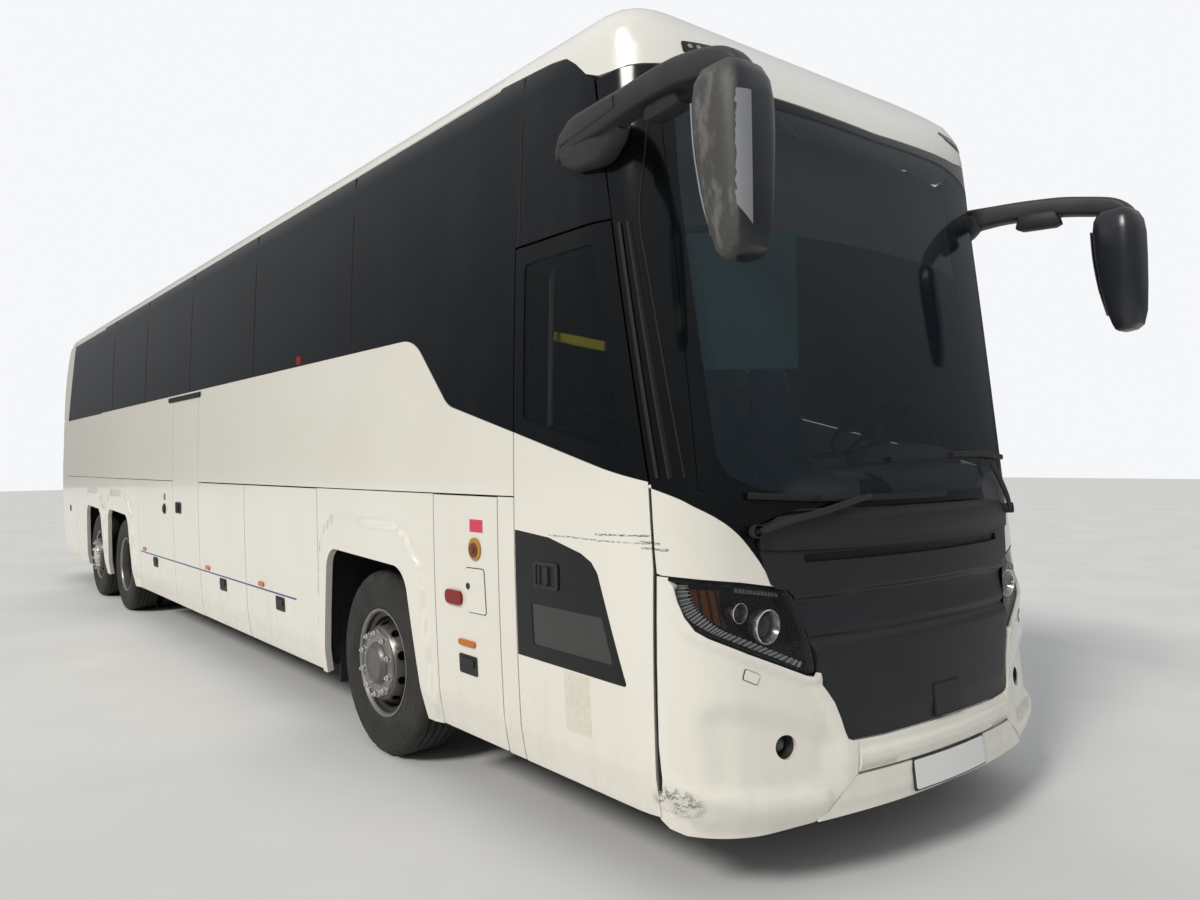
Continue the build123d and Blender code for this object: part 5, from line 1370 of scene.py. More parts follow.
def makeWipers():
    arms, blades = Shape(), Shape()
    spot = (-0.905, 1.360)
    barOnFront(arms, [spot, (-0.80, 1.392), (-0.62, 1.425), (-0.42, 1.468)], 0.011, [0.038, 0.042, 0.036, 0.030],
               flat=1.3)
    barOnFront(arms, [(-0.44, 1.462), (-0.36, 1.476)], 0.012, 0.026)
    barOnFront(blades, [(-0.92, 1.492), (-0.60, 1.474), (-0.25, 1.468), (0.18, 1.470)], 0.007, 0.016, flat=1.9)
    barOnFront(blades, [(-0.62, 1.474), (-0.40, 1.471), (-0.16, 1.470)], 0.011, 0.024, flat=1.2)
    far = (0.905, 1.372)
    barOnFront(arms, [far, (0.86, 1.430), (0.78, 1.520), (0.70, 1.592)], 0.011, [0.038, 0.042, 0.036, 0.030],
               flat=1.3)
    barOnFront(blades, [(-0.20, 1.619), (0.15, 1.634), (0.60, 1.638), (0.98, 1.622)], 0.007, 0.014, flat=1.9)
    barOnFront(blades, [(0.25, 1.636), (0.55, 1.642), (0.82, 1.634)], 0.011, 0.024, flat=1.2)
    for y, z in (spot, far):
        centre, lean = skinAt("front", y, z, 0.010)
        lampBarrel(arms, arms, centre + lean * 0.040, lean, 0.026, 0.030)
    arms.make("wiperArms", "black_plastic", "plastic", "wipers")
    blades.make("wiperBlades", "black_plastic", "rubber")


def makeMirrors():
    mirror = {"x": noseX + 0.155, "y": 1.375}
    arms, heads, strips, glasses, boxes = (Shape() for _ in range(5))
    for hand in hands:
        coachBar(arms, [(1.788, 1.268, 2.861, 0.010, 0.016), (1.802, 1.268, 2.862, 0.020, 0.028),
                        (1.870, 1.270, 2.887, 0.040, 0.049), (1.952, 1.272, 2.908, 0.050, 0.062),
                        (2.090, 1.280, 2.912, 0.054, 0.060), (2.320, 1.306, 2.916, 0.052, 0.050),
                        (2.548, 1.346, 2.906, 0.050, 0.048), (2.690, 1.370, 2.884, 0.048, 0.047),
                        (2.820, 1.380, 2.852, 0.046, 0.046), (2.875, 1.380, 2.806, 0.044, 0.044),
                        (2.885, 1.380, 2.762, 0.040, 0.040)], hand, sides=24, power=4.2, smooth=5)
        coachBar(arms, [(1.812, 1.262, 2.850, 0.016, 0.020), (1.850, 1.258, 2.850, 0.044, 0.056),
                        (1.920, 1.252, 2.848, 0.058, 0.082), (2.040, 1.248, 2.848, 0.062, 0.086),
                        (2.110, 1.250, 2.868, 0.054, 0.070), (2.180, 1.262, 2.896, 0.040, 0.046)], hand, sides=20,
                 power=2.8, smooth=4)
        coachBar(strips, [(1.850, 1.309, 2.886, 0.005, 0.016), (2.060, 1.332, 2.914, 0.005, 0.030),
                          (2.240, 1.348, 2.922, 0.005, 0.024)], hand, sides=8, power=4.0, smooth=3)
        coachBar(boxes, [(2.392, 1.294, 2.850, 0.030, 0.026), (2.406, 1.296, 2.846, 0.042, 0.042),
                         (2.566, 1.322, 2.842, 0.042, 0.042), (2.580, 1.324, 2.846, 0.030, 0.026)], hand, sides=16,
                 power=4.5, smooth=2)
        levels = [(2.232, 0.030, 0.000, 0.040), (2.240, 0.066, 0.010, 0.064), (2.262, 0.092, 0.018, 0.082),
                  (2.330, 0.106, 0.046, 0.092), (2.450, 0.108, 0.074, 0.102), (2.600, 0.106, 0.096, 0.110),
                  (2.720, 0.102, 0.106, 0.110), (2.780, 0.092, 0.102, 0.102), (2.818, 0.072, 0.086, 0.084),
                  (2.838, 0.044, 0.056, 0.054), (2.844, 0.016, 0.020, 0.020)]
        mirrorHead(heads, (mirror["x"], hand * mirror["y"]), levels)
        plate = [(Vector((mirror["x"] - back - 0.001, hand * mirror["y"], z)), reach, 0.004)
                 for z, back, reach in ((2.31, 0.040, 0.070), (2.45, 0.074, 0.082), (2.60, 0.096, 0.088),
                                        (2.73, 0.106, 0.086))]
        sweptBar(glasses, plate, sides=12, power=8.0, smooth=3)
    arms.make("mirrorArms", "mirror_housing", "mirror", "mirrors")
    heads.make("mirrorHeads", "mirror_housing", "mirrorShell")
    strips.make("armInlays", "mirror_housing", "mirror")
    boxes.make("armJoints", "mirror_housing", "plastic")
    glasses.make("mirrorGlasses", "side_glass", "mirrorGlass")


def mirrorHead(shape, middle, levels, sides=36):
    # soft-cornered housing: rounder in front, flatter behind
    points = []
    for z, ahead, behind, halfY in levels:
        for swing in swings(sides):
            isAhead = math.cos(swing) > 0
            u, v = softRing(swing, 3.0 if isAhead else 4.5)
            points.append((middle[0] + u * (ahead if isAhead else behind), middle[1] + v * halfY, z))
    ends = [list(range(sides))[::-1], [(len(levels) - 1) * sides + k for k in range(sides)]]
    shape.add(points, netFaces(len(levels), sides, False, True) + ends)


makeMask()
makeCheeks()
makeBumper()
makeHeadlamps()
makeWindscreen()
makeWipers()
makeMirrors()
print("front made")


# Doors
def doorBrackets(shape, pinX):
    for height in (0.620, 1.440):
        for low in (height - 0.030, height + 0.040):
            boxAt(shape, (pinX, -1.1765, low + 0.015), (0.030, 0.0785, 0.0145))


def lockPlate(ring, wall, lift, key, keyThick, keyLift):
    # a dark dish with a proud rim, and its key bar
    lock = Shape()
    for outline, holes, thick, off in ((ring, [shrunk(ring, wall)], 0.012, lift), (key, [], keyThick, keyLift),
                                       (shrunk(ring, wall - 0.002), [], 0.004, 0.0015)):
        skinPatch(lock, "right", outline, thick, holes=holes, cell=0.05, lift=off)
    return lock


def makeFrontDoor():
    gap = seams["gap"]
    rear = seams["doorRear"] + gap
    low = seams["sill"] + 0.002
    window = rounded([(rear + 0.001, 0.797), (frontAxle + 2.175, 0.787), (frontAxle + 2.022, 1.196),
                      (frontAxle + 1.985, 1.236), (frontAxle + 1.918, 1.266), (frontAxle + 1.702, 1.315),
                      (rear + 0.001, 1.334)], {1: 0.010, 2: 0.05}, 4)
    top = [(frontAxle + 2.256 - gap, 1.548), (rear, sweepZ(rear))]
    leaf = Shape()
    outline = [(rear, low), (doorLine[0][0] - gap, low), (doorLine[1][0] - gap, doorLine[1][1]), *top]
    hole = [(x + 0.010, z) if x < rear + 0.01 else (x, z) for x, z in window]
    skinPatch(leaf, "right", outline, seams["wall"], holes=[hole], cell=0.05)
    doorBrackets(leaf, frontAxle + 2.080 - 0.560)
    leaf.make("frontDoorLeaf", "door_paint", "frontWhite", "front_door", body="front_door")
    frame = Shape()
    clear = rounded([(rear + 0.070, sweepZ(rear + 0.07) + 0.075), (frontAxle + 2.150, 1.655),
                     (frontAxle + 1.985, 2.470), (rear + 0.070, 2.470)], 0.03, 4)
    upper = [(rear, sweepZ(rear) + 0.002), (frontAxle + 2.256 - gap, 1.550),
             (frontAxle + 2.256 - gap - 0.0005, 1.552), (doorLineX(2.0) - gap, 2.0),
             (doorLine[3][0] - gap, seams["doorTop"] - gap), (rear, seams["doorTop"] - gap)]
    skinPatch(frame, "right", upper, 0.034, holes=[clear], cell=0.06)
    lowerFrame = shrunk(window, 0.001)
    sill = rounded([(frontAxle + 1.566, 1.031), (frontAxle + 1.574, 0.857), (frontAxle + 2.100, 0.855),
                    (frontAxle + 2.040, 1.029)], 0.012, 3)
    skinPatch(frame, "right", lowerFrame, 0.030, holes=[sill], cell=0.05, lift=0.0005)
    frame.make("frontDoorFrame", "black_gloss", "black", body="front_door")
    onePiece("frontDoorPane", "side_glass", "doorGlass", skinPatch, "right", shrunk(clear, -0.004), 0.005, cell=0.10,
             lift=-0.004, replaces=["front_door_glass"], body="front_door")
    onePiece("frontDoorLowPane", "side_glass", "lowPane", skinPatch, "right", shrunk(sill, -0.003), 0.005, cell=0.10,
             lift=-0.003, body="front_door")
    x0, x1, z0, z1 = frontAxle + 1.598, frontAxle + 1.768, 1.100, 1.212
    ring = softRectangle(x0, x1, z0, z1, 0.018, 5)
    key = softRectangle(x0 + 0.078, x0 + 0.112, z0 + 0.018, z1 - 0.018, 0.014, 4)
    lock = lockPlate(ring, 0.016, 0.008, key, 0.012, 0.016)
    skinPatch(lock, "right", rectangle(x0 + 0.036, x0 + 0.046, z0 + 0.022, z1 - 0.022), 0.008, cell=0.05, lift=0.009)
    lock.make("frontDoorLock", "black_plastic", "plastic", body="front_door")
    onePiece("frontDoorRail", "dark_steel", "rail", coachBar,
             [(1.580, -1.175, 1.78, 0.012, 0.012), (1.580, -1.165, 2.12, 0.012, 0.012),
              (1.580, -1.155, 2.46, 0.012, 0.012)], sides=10, power=2.0, smooth=2, body="front_door")
    seal = Shape()
    for z0, z1 in ((0.43, 1.22), (1.22, 1.54), (1.56, 2.53)):
        rows = [(Vector(onSkin("right", doorLineX(z) - 0.001, z, -0.010)), 0.0035, 0.006)
                for z in (z0, (z0 + z1) / 2, z1)]
        sweptBar(seal, rows, sides=8, power=2.0, smooth=3)
    seal.make("frontDoorSeal", "black_plastic", "rubber")


def makeMidDoor():
    gap = seams["gap"]
    x0, x1 = seams["midDoorRear"] + gap, seams["midDoorFront"] - gap
    leaf = Shape()
    skinPatch(leaf, "right", softRectangle(x0, x1, seams["sill"] + 0.002, seams["midDoorTop"] - gap, 0.006, 2),
              seams["wall"], cell=0.08)
    doorBrackets(leaf, frontAxle - 4.212 + 0.560)
    leaf.make("midDoorLeaf", "white_paint", "white", "mid_door", body="mid_door")
    a0, a1 = frontAxle - 4.200, frontAxle - 4.015
    ring = softRectangle(a0, a1, 1.185, 1.285, 0.018, 4)
    key = softRectangle(a0 + 0.080, a0 + 0.112, 1.200, 1.270, 0.012, 3)
    lock = lockPlate(ring, 0.014, 0.006, key, 0.010, 0.013)
    lock.make("midDoorLock", "black_plastic", "plastic", body="mid_door")
    onePiece("midDoorGutter", "black_plastic", "rubber", sweptBar,
             [(Vector(onSkin("right", frontAxle + x, 2.222, 0.004)), 0.010, 0.022) for x in (-4.435, -3.92, -3.402)],
             sides=10, power=3.0, smooth=2)


makeFrontDoor()
makeMidDoor()
print("doors made")


# Wheels
wheel = {"sides": 120, "face": 1.235, "width": 0.290, "twinPitch": 0.330, "studCircle": 0.1675, "studs": 10,
         "holes": 10}
sidewall = [(0.042, 0.283), (0.031, 0.289), (0.020, 0.300), (0.012, 0.318), (0.0060, 0.345), (0.0055, 0.352),
            (0.0030, 0.356), (0.0026, 0.364), (0.0045, 0.368), (0.0020, 0.385), (0.0, 0.405), (0.0010, 0.425),
            (0.0030, 0.440), (0.0012, 0.444), (0.0020, 0.450), (0.0060, 0.455), (0.0085, 0.468), (0.0110, 0.480)]
shoulder = [(0.0160, 0.490), (0.0240, 0.499), (0.0340, 0.505), (0.0440, 0.508)]
grooves = (0.078, 0.1225, 0.1675, 0.212)
nutFoot = [(-0.002, 0.0225), (0.004, 0.0215), (0.005, 0.0170)]
nutBody = [(0.004, 0.0168), (0.022, 0.0164), (0.026, 0.0135), (0.026, 0.0095), (0.034, 0.0090), (0.036, 0.0070),
           (0.036, 0.0)]


def tyreProfile(step):
    cut = 0.007 if step % 4 == 0 else 0.0
    across = wheel["width"]
    half = list(sidewall) + [(a + cut * 0.3, r - cut) for a, r in shoulder]
    tread = [(0.052, 0.510)]
    for at in grooves:
        jog = 0.0022 if step % 6 < 3 else -0.0022
        tread += [(at - 0.0065 + jog, 0.5115), (at - 0.0050 + jog, 0.5010), (at + 0.0050 + jog, 0.5010),
                  (at + 0.0065 + jog, 0.5115)]
    tread += [(across - 0.052, 0.510)]
    return half + tread + [(across - a, r) for a, r in reversed(half)]


def lathed(shape, spot, hand, outerFace, profile, steps=96, turn=0.5, isClosed=False):
    # profile: (depth behind the tyre's outer face, radius) pairs, or a function that gives those of a step
    rings = [profile(k) if callable(profile) else profile for k in range(steps)]
    points = [(spot[0] + r * math.sin(swing), hand * (outerFace - depth), spot[1] + r * math.cos(swing))
              for swing, ring in zip(swings(steps, turn), rings) for depth, r in ring]
    shape.add(points, netFaces(steps, len(rings[0]), True, isClosed, straight if hand > 0 else backwards))


def makeRim(shape, axle, hand, outerFace, convex, plain=False):
    w = wheel["width"]
    barrel = [(0.262, 0.272), (0.270, 0.296), (0.262, 0.297), (0.256, 0.285), (w - 0.256, 0.285), (w - 0.262, 0.297),
              (0.016, 0.2985), (0.0145, 0.2960), (0.0155, 0.2900), (0.021, 0.2830), (0.030, 0.2775), (0.050, 0.2735),
              (0.056, 0.262), (0.060, 0.252), (0.090, 0.244), (0.200, 0.240), (0.262, 0.272)]
    lathed(shape, (axle, tyreRadius), hand, outerFace, barrel)
    if convex:
        depths = ([0.098, 0.104, 0.176, 0.186, 0.192, 0.207, 0.229, 0.241],
                  [-0.010, -0.010, -0.010, -0.006, 0.000, 0.015, 0.058, 0.084])
        middle, holeAt, holeHalf = 0.100, 0.2185, (0.0115, 0.026)
    else:
        depths = ([0.098, 0.112, 0.180, 0.190, 0.206, 0.226, 0.241],
                  [0.296, 0.296, 0.296, 0.290, 0.262, 0.214, 0.178])
        middle, holeAt, holeHalf = 0.112, 0.2145, (0.0130, 0.026)
    if plain:
        depths = ([0.10, 0.186, 0.241], [-0.020, -0.020, 0.060])
        middle = 0.125

    def depthAt(radius):
        return np.interp(radius, *depths)

    def place(a, b):
        return np.stack([axle + a, hand * (outerFace - depthAt(np.hypot(a, b))), tyreRadius + b], axis=-1)
    outline = ringAround((0, 0), 0.2405, 72)
    holes = [ringAround((0, 0), middle, 40)]
    for k in range(wheel["holes"] if not plain else 0):
        swing = 2 * math.pi * (k + 0.5) / wheel["holes"]
        out, along = Vector((math.cos(swing), math.sin(swing))), Vector((-math.sin(swing), math.cos(swing)))
        ring = []
        for j in range(14):
            turn = 2 * math.pi * j / 14
            spot = out * (holeAt + holeHalf[0] * math.cos(turn)) + along * holeHalf[1] * math.sin(turn)
            ring.append((spot.x, spot.y))
        holes.append(ring)
    solidPatch(shape, outline, place, 0.010, holes, cell=0.016, flip=hand > 0)


def makeHub(rim, nuts, axle, hand, outerFace, convex, cover):
    flat = -0.010 if convex else 0.296
    for ring in ((0.1825, 0.0035), (0.1905, 0.0030)):
        lathed(rim, (axle, tyreRadius), hand, outerFace,
               [(flat + 0.004, ring[0] - 0.003), (flat - ring[1], ring[0]), (flat + 0.006, ring[0] + 0.004)])
    if convex:
        cap = [(flat + 0.004, 0.118), (flat - 0.006, 0.116), (flat - 0.010, 0.110), (flat - 0.016, 0.104),
               (-0.032, 0.100), (-0.038, 0.094), (-0.0395, 0.084), (-0.0365, 0.078), (-0.0370, 0.040), (-0.0375, 0.0)]
    else:
        cap = [(flat + 0.004, 0.124), (flat - 0.010, 0.122), (flat - 0.020, 0.114), (0.120, 0.108), (0.098, 0.104),
               (0.086, 0.096), (0.080, 0.080), (0.0785, 0.040), (0.078, 0.0)]
    lathed(cover, (axle, tyreRadius), hand, outerFace, cap, 64)
    for k in range(wheel["studs"]):
        swing = 2 * math.pi * k / wheel["studs"]
        spot = (axle + wheel["studCircle"] * math.sin(swing), tyreRadius + wheel["studCircle"] * math.cos(swing))
        lathed(nuts, spot, hand, outerFace, [(flat - depth, r) for depth, r in nutFoot], 16, 0.0)
        lathed(nuts, spot, hand, outerFace, [(flat - depth, r) for depth, r in nutBody], 6, 0.0)


def makeWheels():
    for side, hand in (("left", leftHand), ("right", rightHand)):
        for place, axle in (("front", frontAxle), ("drive", driveAxle), ("tag", tagAxle)):
            tyre, rim, nuts, caps = (Shape() for _ in range(4))
            convex = place != "drive"
            body = f"{place}_wheels_{side}" if place == "drive" else f"{place}_wheel_{side}"
            tyreNode = f"tyres_drive_{side}" if place == "drive" else f"tyre_{place}_{side}"
            rimNode = f"rims_drive_{side}" if place == "drive" else f"rim_{place}_{side}"
            spot, twinFace = (axle, tyreRadius), wheel["face"] - wheel["twinPitch"]
            lathed(tyre, spot, hand, wheel["face"], tyreProfile, wheel["sides"], 0.0, True)
            makeRim(rim, axle, hand, wheel["face"], convex)
            makeHub(rim, nuts, axle, hand, wheel["face"], convex, caps)
            if place == "drive":
                lathed(tyre, spot, hand, twinFace, tyreProfile, wheel["sides"], 0.0, True)
                makeRim(rim, axle, hand, twinFace, True, plain=True)
            tyre.make(f"tyreTread_{place}_{side}", "tyre", "tyre", tyreNode, body=body, sharp=38.0)
            rim.make(f"wheelDisc_{place}_{side}", "rim_steel", f"rim{place.title()}", rimNode, body=body, sharp=40.0)
            nuts.make(f"wheelNuts_{place}_{side}", "rim_steel", "nut", body=body, sharp=30.0)
            caps.make(f"hubCap_{place}_{side}", "rim_steel", "capMetal" if place != "tag" else "nut", body=body,
                      sharp=40.0)


makeWheels()
print("wheels made")


# Tail, drawn round it: a is an arc length round an upright line, 0 at the middle of the tail
tail = {"round": 1.27, "hub": 2.60, "lidHalf": 0.894, "cornerStart": 0.975, "lidLow": 0.800, "lidTop": 1.850,
        "bumperLow": 0.245, "windowHalf": 0.900, "windowLow": 2.380, "windowTop": 3.120, "roofLine": 3.302}


def tailAngle(x, y):
    return tail["round"] * math.atan2(y, tailX + tail["round"] - x)


def fromTail(a, b, lift=0.0, domed=False):
    a, b, lift = np.broadcast_arrays(np.asarray(a, float), np.asarray(b, float), np.asarray(lift, float))
    turn = a / tail["round"]
    rise = b / tail["round"] if domed else np.zeros(a.shape)
    way = np.stack([-np.cos(rise) * np.cos(turn), np.cos(rise) * np.sin(turn), np.sin(rise)], axis=-1)
    start = np.stack([np.full(a.shape, tailX + tail["round"]), np.zeros(a.shape),
                      np.full(a.shape, tail["hub"]) if domed else b], axis=-1)
    return alongRays(start, way, np.full(a.shape, 0.2), np.full(a.shape, 2.4), lift, 36)


def tailPatch(shape, outline, thick, relief=None, holes=(), cell=0.06, lift=0.0, domed=False):
    def place(a, b):
        return fromTail(a, b, lift if relief is None else relief(a, b) + lift, domed)
    solidPatch(shape, outline, place, thick, holes, cell, flip=True)


def makeTail():
    gap = seams["fixedGap"]
    lidEdge = tailAngle(tailX, tail["lidHalf"])
    corner = tailAngle(tailX, tail["cornerStart"])
    wallSide = tailAngle(tailX + 0.16, 1.272) - gap * 2
    glassLow = tailAngle(seams["glassRear"], 1.262) - gap
    glassHigh = tailAngle(seams["glassRear"] + 0.33, 1.218) - gap
    window = softRectangle(-tailAngle(tailX, tail["windowHalf"]), tailAngle(tailX, tail["windowHalf"]),
                           tail["windowLow"], tail["windowTop"], 0.07, 6)
    half = [(0.0, tail["lidTop"] + 0.006), (lidEdge + 0.004, tail["lidTop"] + 0.006), (lidEdge + 0.004, 0.784),
            (corner - gap, 0.784), (corner - gap, 1.479), (wallSide, 1.479), (wallSide, 2.262), (glassLow, 2.262),
            (glassHigh, tail["roofLine"] - 0.004), (0.0, tail["roofLine"] - 0.004)]

    def wallRelief(a, z):
        frameWork = inZone(a, z, shrunk(window, -0.05), 0.03)
        return 0.010 * frameWork - 0.012 * np.exp(-np.square((z - 2.262) / 0.016))
    onePiece("rearWall", "white_paint", "white", tailPatch, mirrored(half), 0.03, wallRelief, [window], cell=0.05,
             replaces=["rear_wall"])
    onePiece("rearGlass", "side_glass", "sideGlass", tailPatch, shrunk(window, 0.003), 0.008, lift=0.002, cell=0.10)
    onePiece("rearGlassSeal", "black_plastic", "rubber", tailPatch, window, 0.012, holes=[shrunk(window, 0.022)],
             lift=0.011, cell=0.06)

    corners, trays, reds, ambers, clears = (Shape() for _ in range(5))
    sideEnd = tailAngle(seams["rearArchRear"], 1.262) - gap
    lamp = softRectangle(corner + 0.035, corner + 0.170, 0.840, 1.370, 0.035, 5)

    def cornerRelief(a, z):
        return 0.010 * inZone(np.abs(a), z, shrunk(lamp, -0.030), 0.03) - 0.012 * step01((0.42 - z) / 0.10)
    outline = [(corner + gap, 0.334), (sideEnd, 0.334), (sideEnd, 1.472), (corner + gap, 1.472)]
    bothHands(tailPatch, corners, outline, seams["wall"], cornerRelief, holes=[lamp], cell=0.05)
    bothHands(tailPatch, trays, lamp, 0.006, lift=-0.030, cell=0.08)
    bothHands(tailPatch, trays, lamp, 0.045, holes=[shrunk(lamp, 0.010)], lift=0.013, cell=0.06)
    for shape, low, high in ((reds, 1.185, 1.355), (ambers, 1.045, 1.175), (reds, 0.925, 1.035),
                             (clears, 0.855, 0.915)):
        bothHands(tailPatch, shape, softRectangle(corner + 0.048, corner + 0.157, low, high, 0.014, 4), 0.016,
                  lift=0.012, cell=0.04)
    for shape, box, radius, thick, lift in ((reds, (0.690, 0.790, 0.505, 0.550), 0.010, 0.006, 0.018),
                                            (reds, (1.020, 1.075, 3.215, 3.240), 0.010, 0.012, 0.010),
                                            (trays, (1.580, 1.660, 0.985, 1.065), 0.012, 0.006, 0.004)):
        bothHands(tailPatch, shape, softRectangle(*box, radius, 3), thick, lift=lift, cell=0.05)
    corners.make("rearCorners", "white_paint", "white", "rear_corners")
    trays.make("rearLampTrays", "black_plastic", "plastic")
    reds.make("rearRedLamps", "lamp_lens", "red")
    ambers.make("rearAmberLamps", "lamp_lens", "amber")
    clears.make("rearClearLamps", "lamp_lens", "ledRow")

    def lidRelief(a, z):
        side = np.abs(a)
        slats = (step01((side - 0.235) / 0.015) * step01((0.705 - side) / 0.015)
                 * step01((z - 0.875) / 0.012) * step01((1.225 - z) / 0.012))
        wave = (z - 0.880) / 0.0345
        saw = wave - np.floor(wave)
        field = 0.010 * inZone(a, z, rectangle(-0.70, 0.70, 1.33, 1.77), 0.03)
        plateBay = inZone(a, z, rectangle(-0.29, 0.29, 1.42, 1.56), 0.012)
        return slats * (-0.004 - 0.016 * saw) + field - 0.016 * plateBay
    lid = Shape()
    edge = lidEdge - 0.001
    tailPatch(lid, softRectangle(-edge, edge, tail["lidLow"] + 0.003, tail["lidTop"] - 0.001, 0.02, 4), 0.03,
              lidRelief, cell=0.024)
    lid.make("engineLid", "white_paint", "white", "engine_lid", body="engine_lid")
    onePiece("rearPlate", "white_paint", "plate", tailPatch, softRectangle(-0.26, 0.26, 1.435, 1.545, 0.008, 3),
             0.006, lift=0.003, cell=0.1, body="engine_lid")
    grip = Shape()
    tailPatch(grip, softRectangle(-0.13, 0.13, 0.825, 0.860, 0.010, 3), 0.010, lift=0.010, cell=0.05)
    bothHands(tailPatch, grip, softRectangle(0.10, 0.15, 1.575, 1.595, 0.006, 3), 0.012, lift=0.016, cell=0.05)
    grip.make("engineLidGrip", "black_plastic", "plastic", body="engine_lid")

    def bumperRelief(a, z):
        return 0.014 * step01((z - 0.40) / 0.03) * step01((0.775 - z) / 0.03) - 0.012 * step01((0.30 - z) / 0.06)
    bumper = Shape()
    end = corner - gap
    tailPatch(bumper, rectangle(-end, end, tail["bumperLow"], 0.777), 0.03, bumperRelief, cell=0.04)
    bumper.make("rearBumper", "white_paint", "white", "rear_bumper")
    onePiece("rearSkirt", "black_plastic", "plastic", tailPatch,
             softRectangle(-0.60, 0.60, 0.262, 0.385, {2: 0.03, 3: 0.03}, 4), 0.006, lift=0.006, cell=0.06)

    roofEnd = Shape()
    cut = tailX + 0.716
    reach = tailAngle(cut, 1.222)
    contour = [fromTail(a, tail["roofLine"]) for a in np.linspace(-reach, reach, 44)]
    height = float(onSkin("top", cut, 1.150)[2])
    across = [onSkin("left", cut, z) for z in np.linspace(tail["roofLine"], height, 5)[1:]]
    across += [onSkin("top", cut, y) for y in np.linspace(1.150, -1.150, 26)[1:-1]]
    across += [onSkin("right", cut, z) for z in np.linspace(height, tail["roofLine"], 5)[:-1]]
    outline = [(tailAngle(x, y), tail["round"] * math.atan2(z - tail["hub"], math.hypot(tailX + tail["round"] - x, y)))
               for x, y, z in contour + across]
    tailPatch(roofEnd, outline, 0.03, cell=0.07, domed=True)
    roofEnd.make("roofTail", "white_paint", "white")


def makeRoofHatches():
    hatches = Shape()
    for at in (frontAxle - 1.60, frontAxle - 7.40):
        outline = softRectangle(at - 0.42, at + 0.42, -0.36, 0.36, 0.07, 5)
        hatch = softRectangle(at - 0.34, at + 0.34, -0.28, 0.28, 0.05, 5)

        def relief(a, b):
            return 0.010 * step01(edgeDistance(a, b, outline) / 0.04) + 0.014 * inZone(a, b, hatch, 0.02)
        skinPatch(hatches, "top", outline, 0.008, relief, cell=0.05)
    hatches.make("roofHatches", "white_paint", "dome")


makeTail()
makeRoofHatches()
print("tail made")


# Inside
inside = {"cabinFloor": 1.450, "driverFloor": 1.020, "rows": 12, "pitch": 0.780, "firstRow": frontAxle + 0.700,
          "wheelRadius": 0.223, "wheelTube": 0.014}


def seatBar(shape, rows, y=0, **section):
    # rows: place ahead of the seat's middle, height, half across, half up
    sweptBar(shape, [((x, y, z), across, up) for x, z, across, up in rows], **section)


def seatParts():
    fabric, shell, metal = Shape(), Shape(), Shape()
    seatBar(fabric, [(-0.195, 0.395, 0.165, 0.035), (-0.10, 0.398, 0.212, 0.058), (0.05, 0.398, 0.218, 0.062),
                     (0.17, 0.402, 0.216, 0.060), (0.235, 0.398, 0.200, 0.050), (0.262, 0.392, 0.165, 0.022)],
            sides=14, power=3.2, smooth=2)
    seatBar(fabric, [(-0.198, 0.415, 0.180, 0.030), (-0.214, 0.480, 0.212, 0.055), (-0.243, 0.620, 0.220, 0.062),
                     (-0.285, 0.800, 0.214, 0.050), (-0.315, 0.935, 0.196, 0.046), (-0.332, 0.990, 0.150, 0.042),
                     (-0.348, 1.050, 0.152, 0.054), (-0.360, 1.105, 0.140, 0.046), (-0.366, 1.130, 0.095, 0.018)],
            sides=14, power=3.2, smooth=2)
    seatBar(shell, [(-0.262, 0.400, 0.200, 0.020), (-0.302, 0.640, 0.214, 0.024), (-0.348, 0.900, 0.200, 0.020),
                    (-0.376, 1.040, 0.150, 0.016)], sides=10, power=4.0, smooth=2)
    for side in (-0.232, 0.232):
        seatBar(shell, [(-0.25, 0.615, 0.014, 0.012), (-0.10, 0.625, 0.020, 0.016), (0.06, 0.622, 0.020, 0.015),
                        (0.09, 0.616, 0.012, 0.008)], side, sides=8, power=2.6, smooth=1)
    for height, half in ((0.020, (0.13, 0.17, 0.012)), (0.180, (0.035, 0.120, 0.155)), (0.328, (0.18, 0.19, 0.010))):
        boxAt(metal, (0.0, 0.0, height), half)
    return fabric, shell, metal


def makeSeats():
    parts = seatParts()
    made = [Shape() for _ in parts]
    spots = [(frontAxle + 1.560, 0.650, inside["driverFloor"])]
    for row in range(inside["rows"]):
        x = inside["firstRow"] - row * inside["pitch"]
        for hand in (leftHand, rightHand):
            nearDoor = seams["midDoorRear"] - 0.45 < x < seams["midDoorFront"] + 0.45
            if hand == leftHand or not nearDoor:
                spots += [(x, hand * 0.480, inside["cabinFloor"]), (x, hand * 0.925, inside["cabinFloor"])]
    for spot in spots:
        for shape, part in zip(made, parts):
            shape.add([(p[0] + spot[0], p[1] + spot[1], p[2] + spot[2]) for p in part.points], part.faces)
    cushions = made[0].make("seatCushions", "seat_fabric", "seat", "seats", sharp=60.0)
    made[1].make("seatShells", "seat_fabric", "dash", sharp=40.0)
    made[2].make("seatFeet", "dark_steel", "cast")


def ringOn(shape, centre, axis, radius, tube):
    across = axis.cross(Vector((0, 1, 0))).normalized()
    upNow = axis.cross(across)
    points, steps, sides = [], 48, 12
    for turn in swings(steps):
        out = across * math.cos(turn) + upNow * math.sin(turn)
        points += [centre + out * (radius + tube * math.cos(swing)) + axis * tube * math.sin(swing)
                   for swing in swings(sides)]
    shape.add(points, netFaces(steps, sides, True, True, crossed))


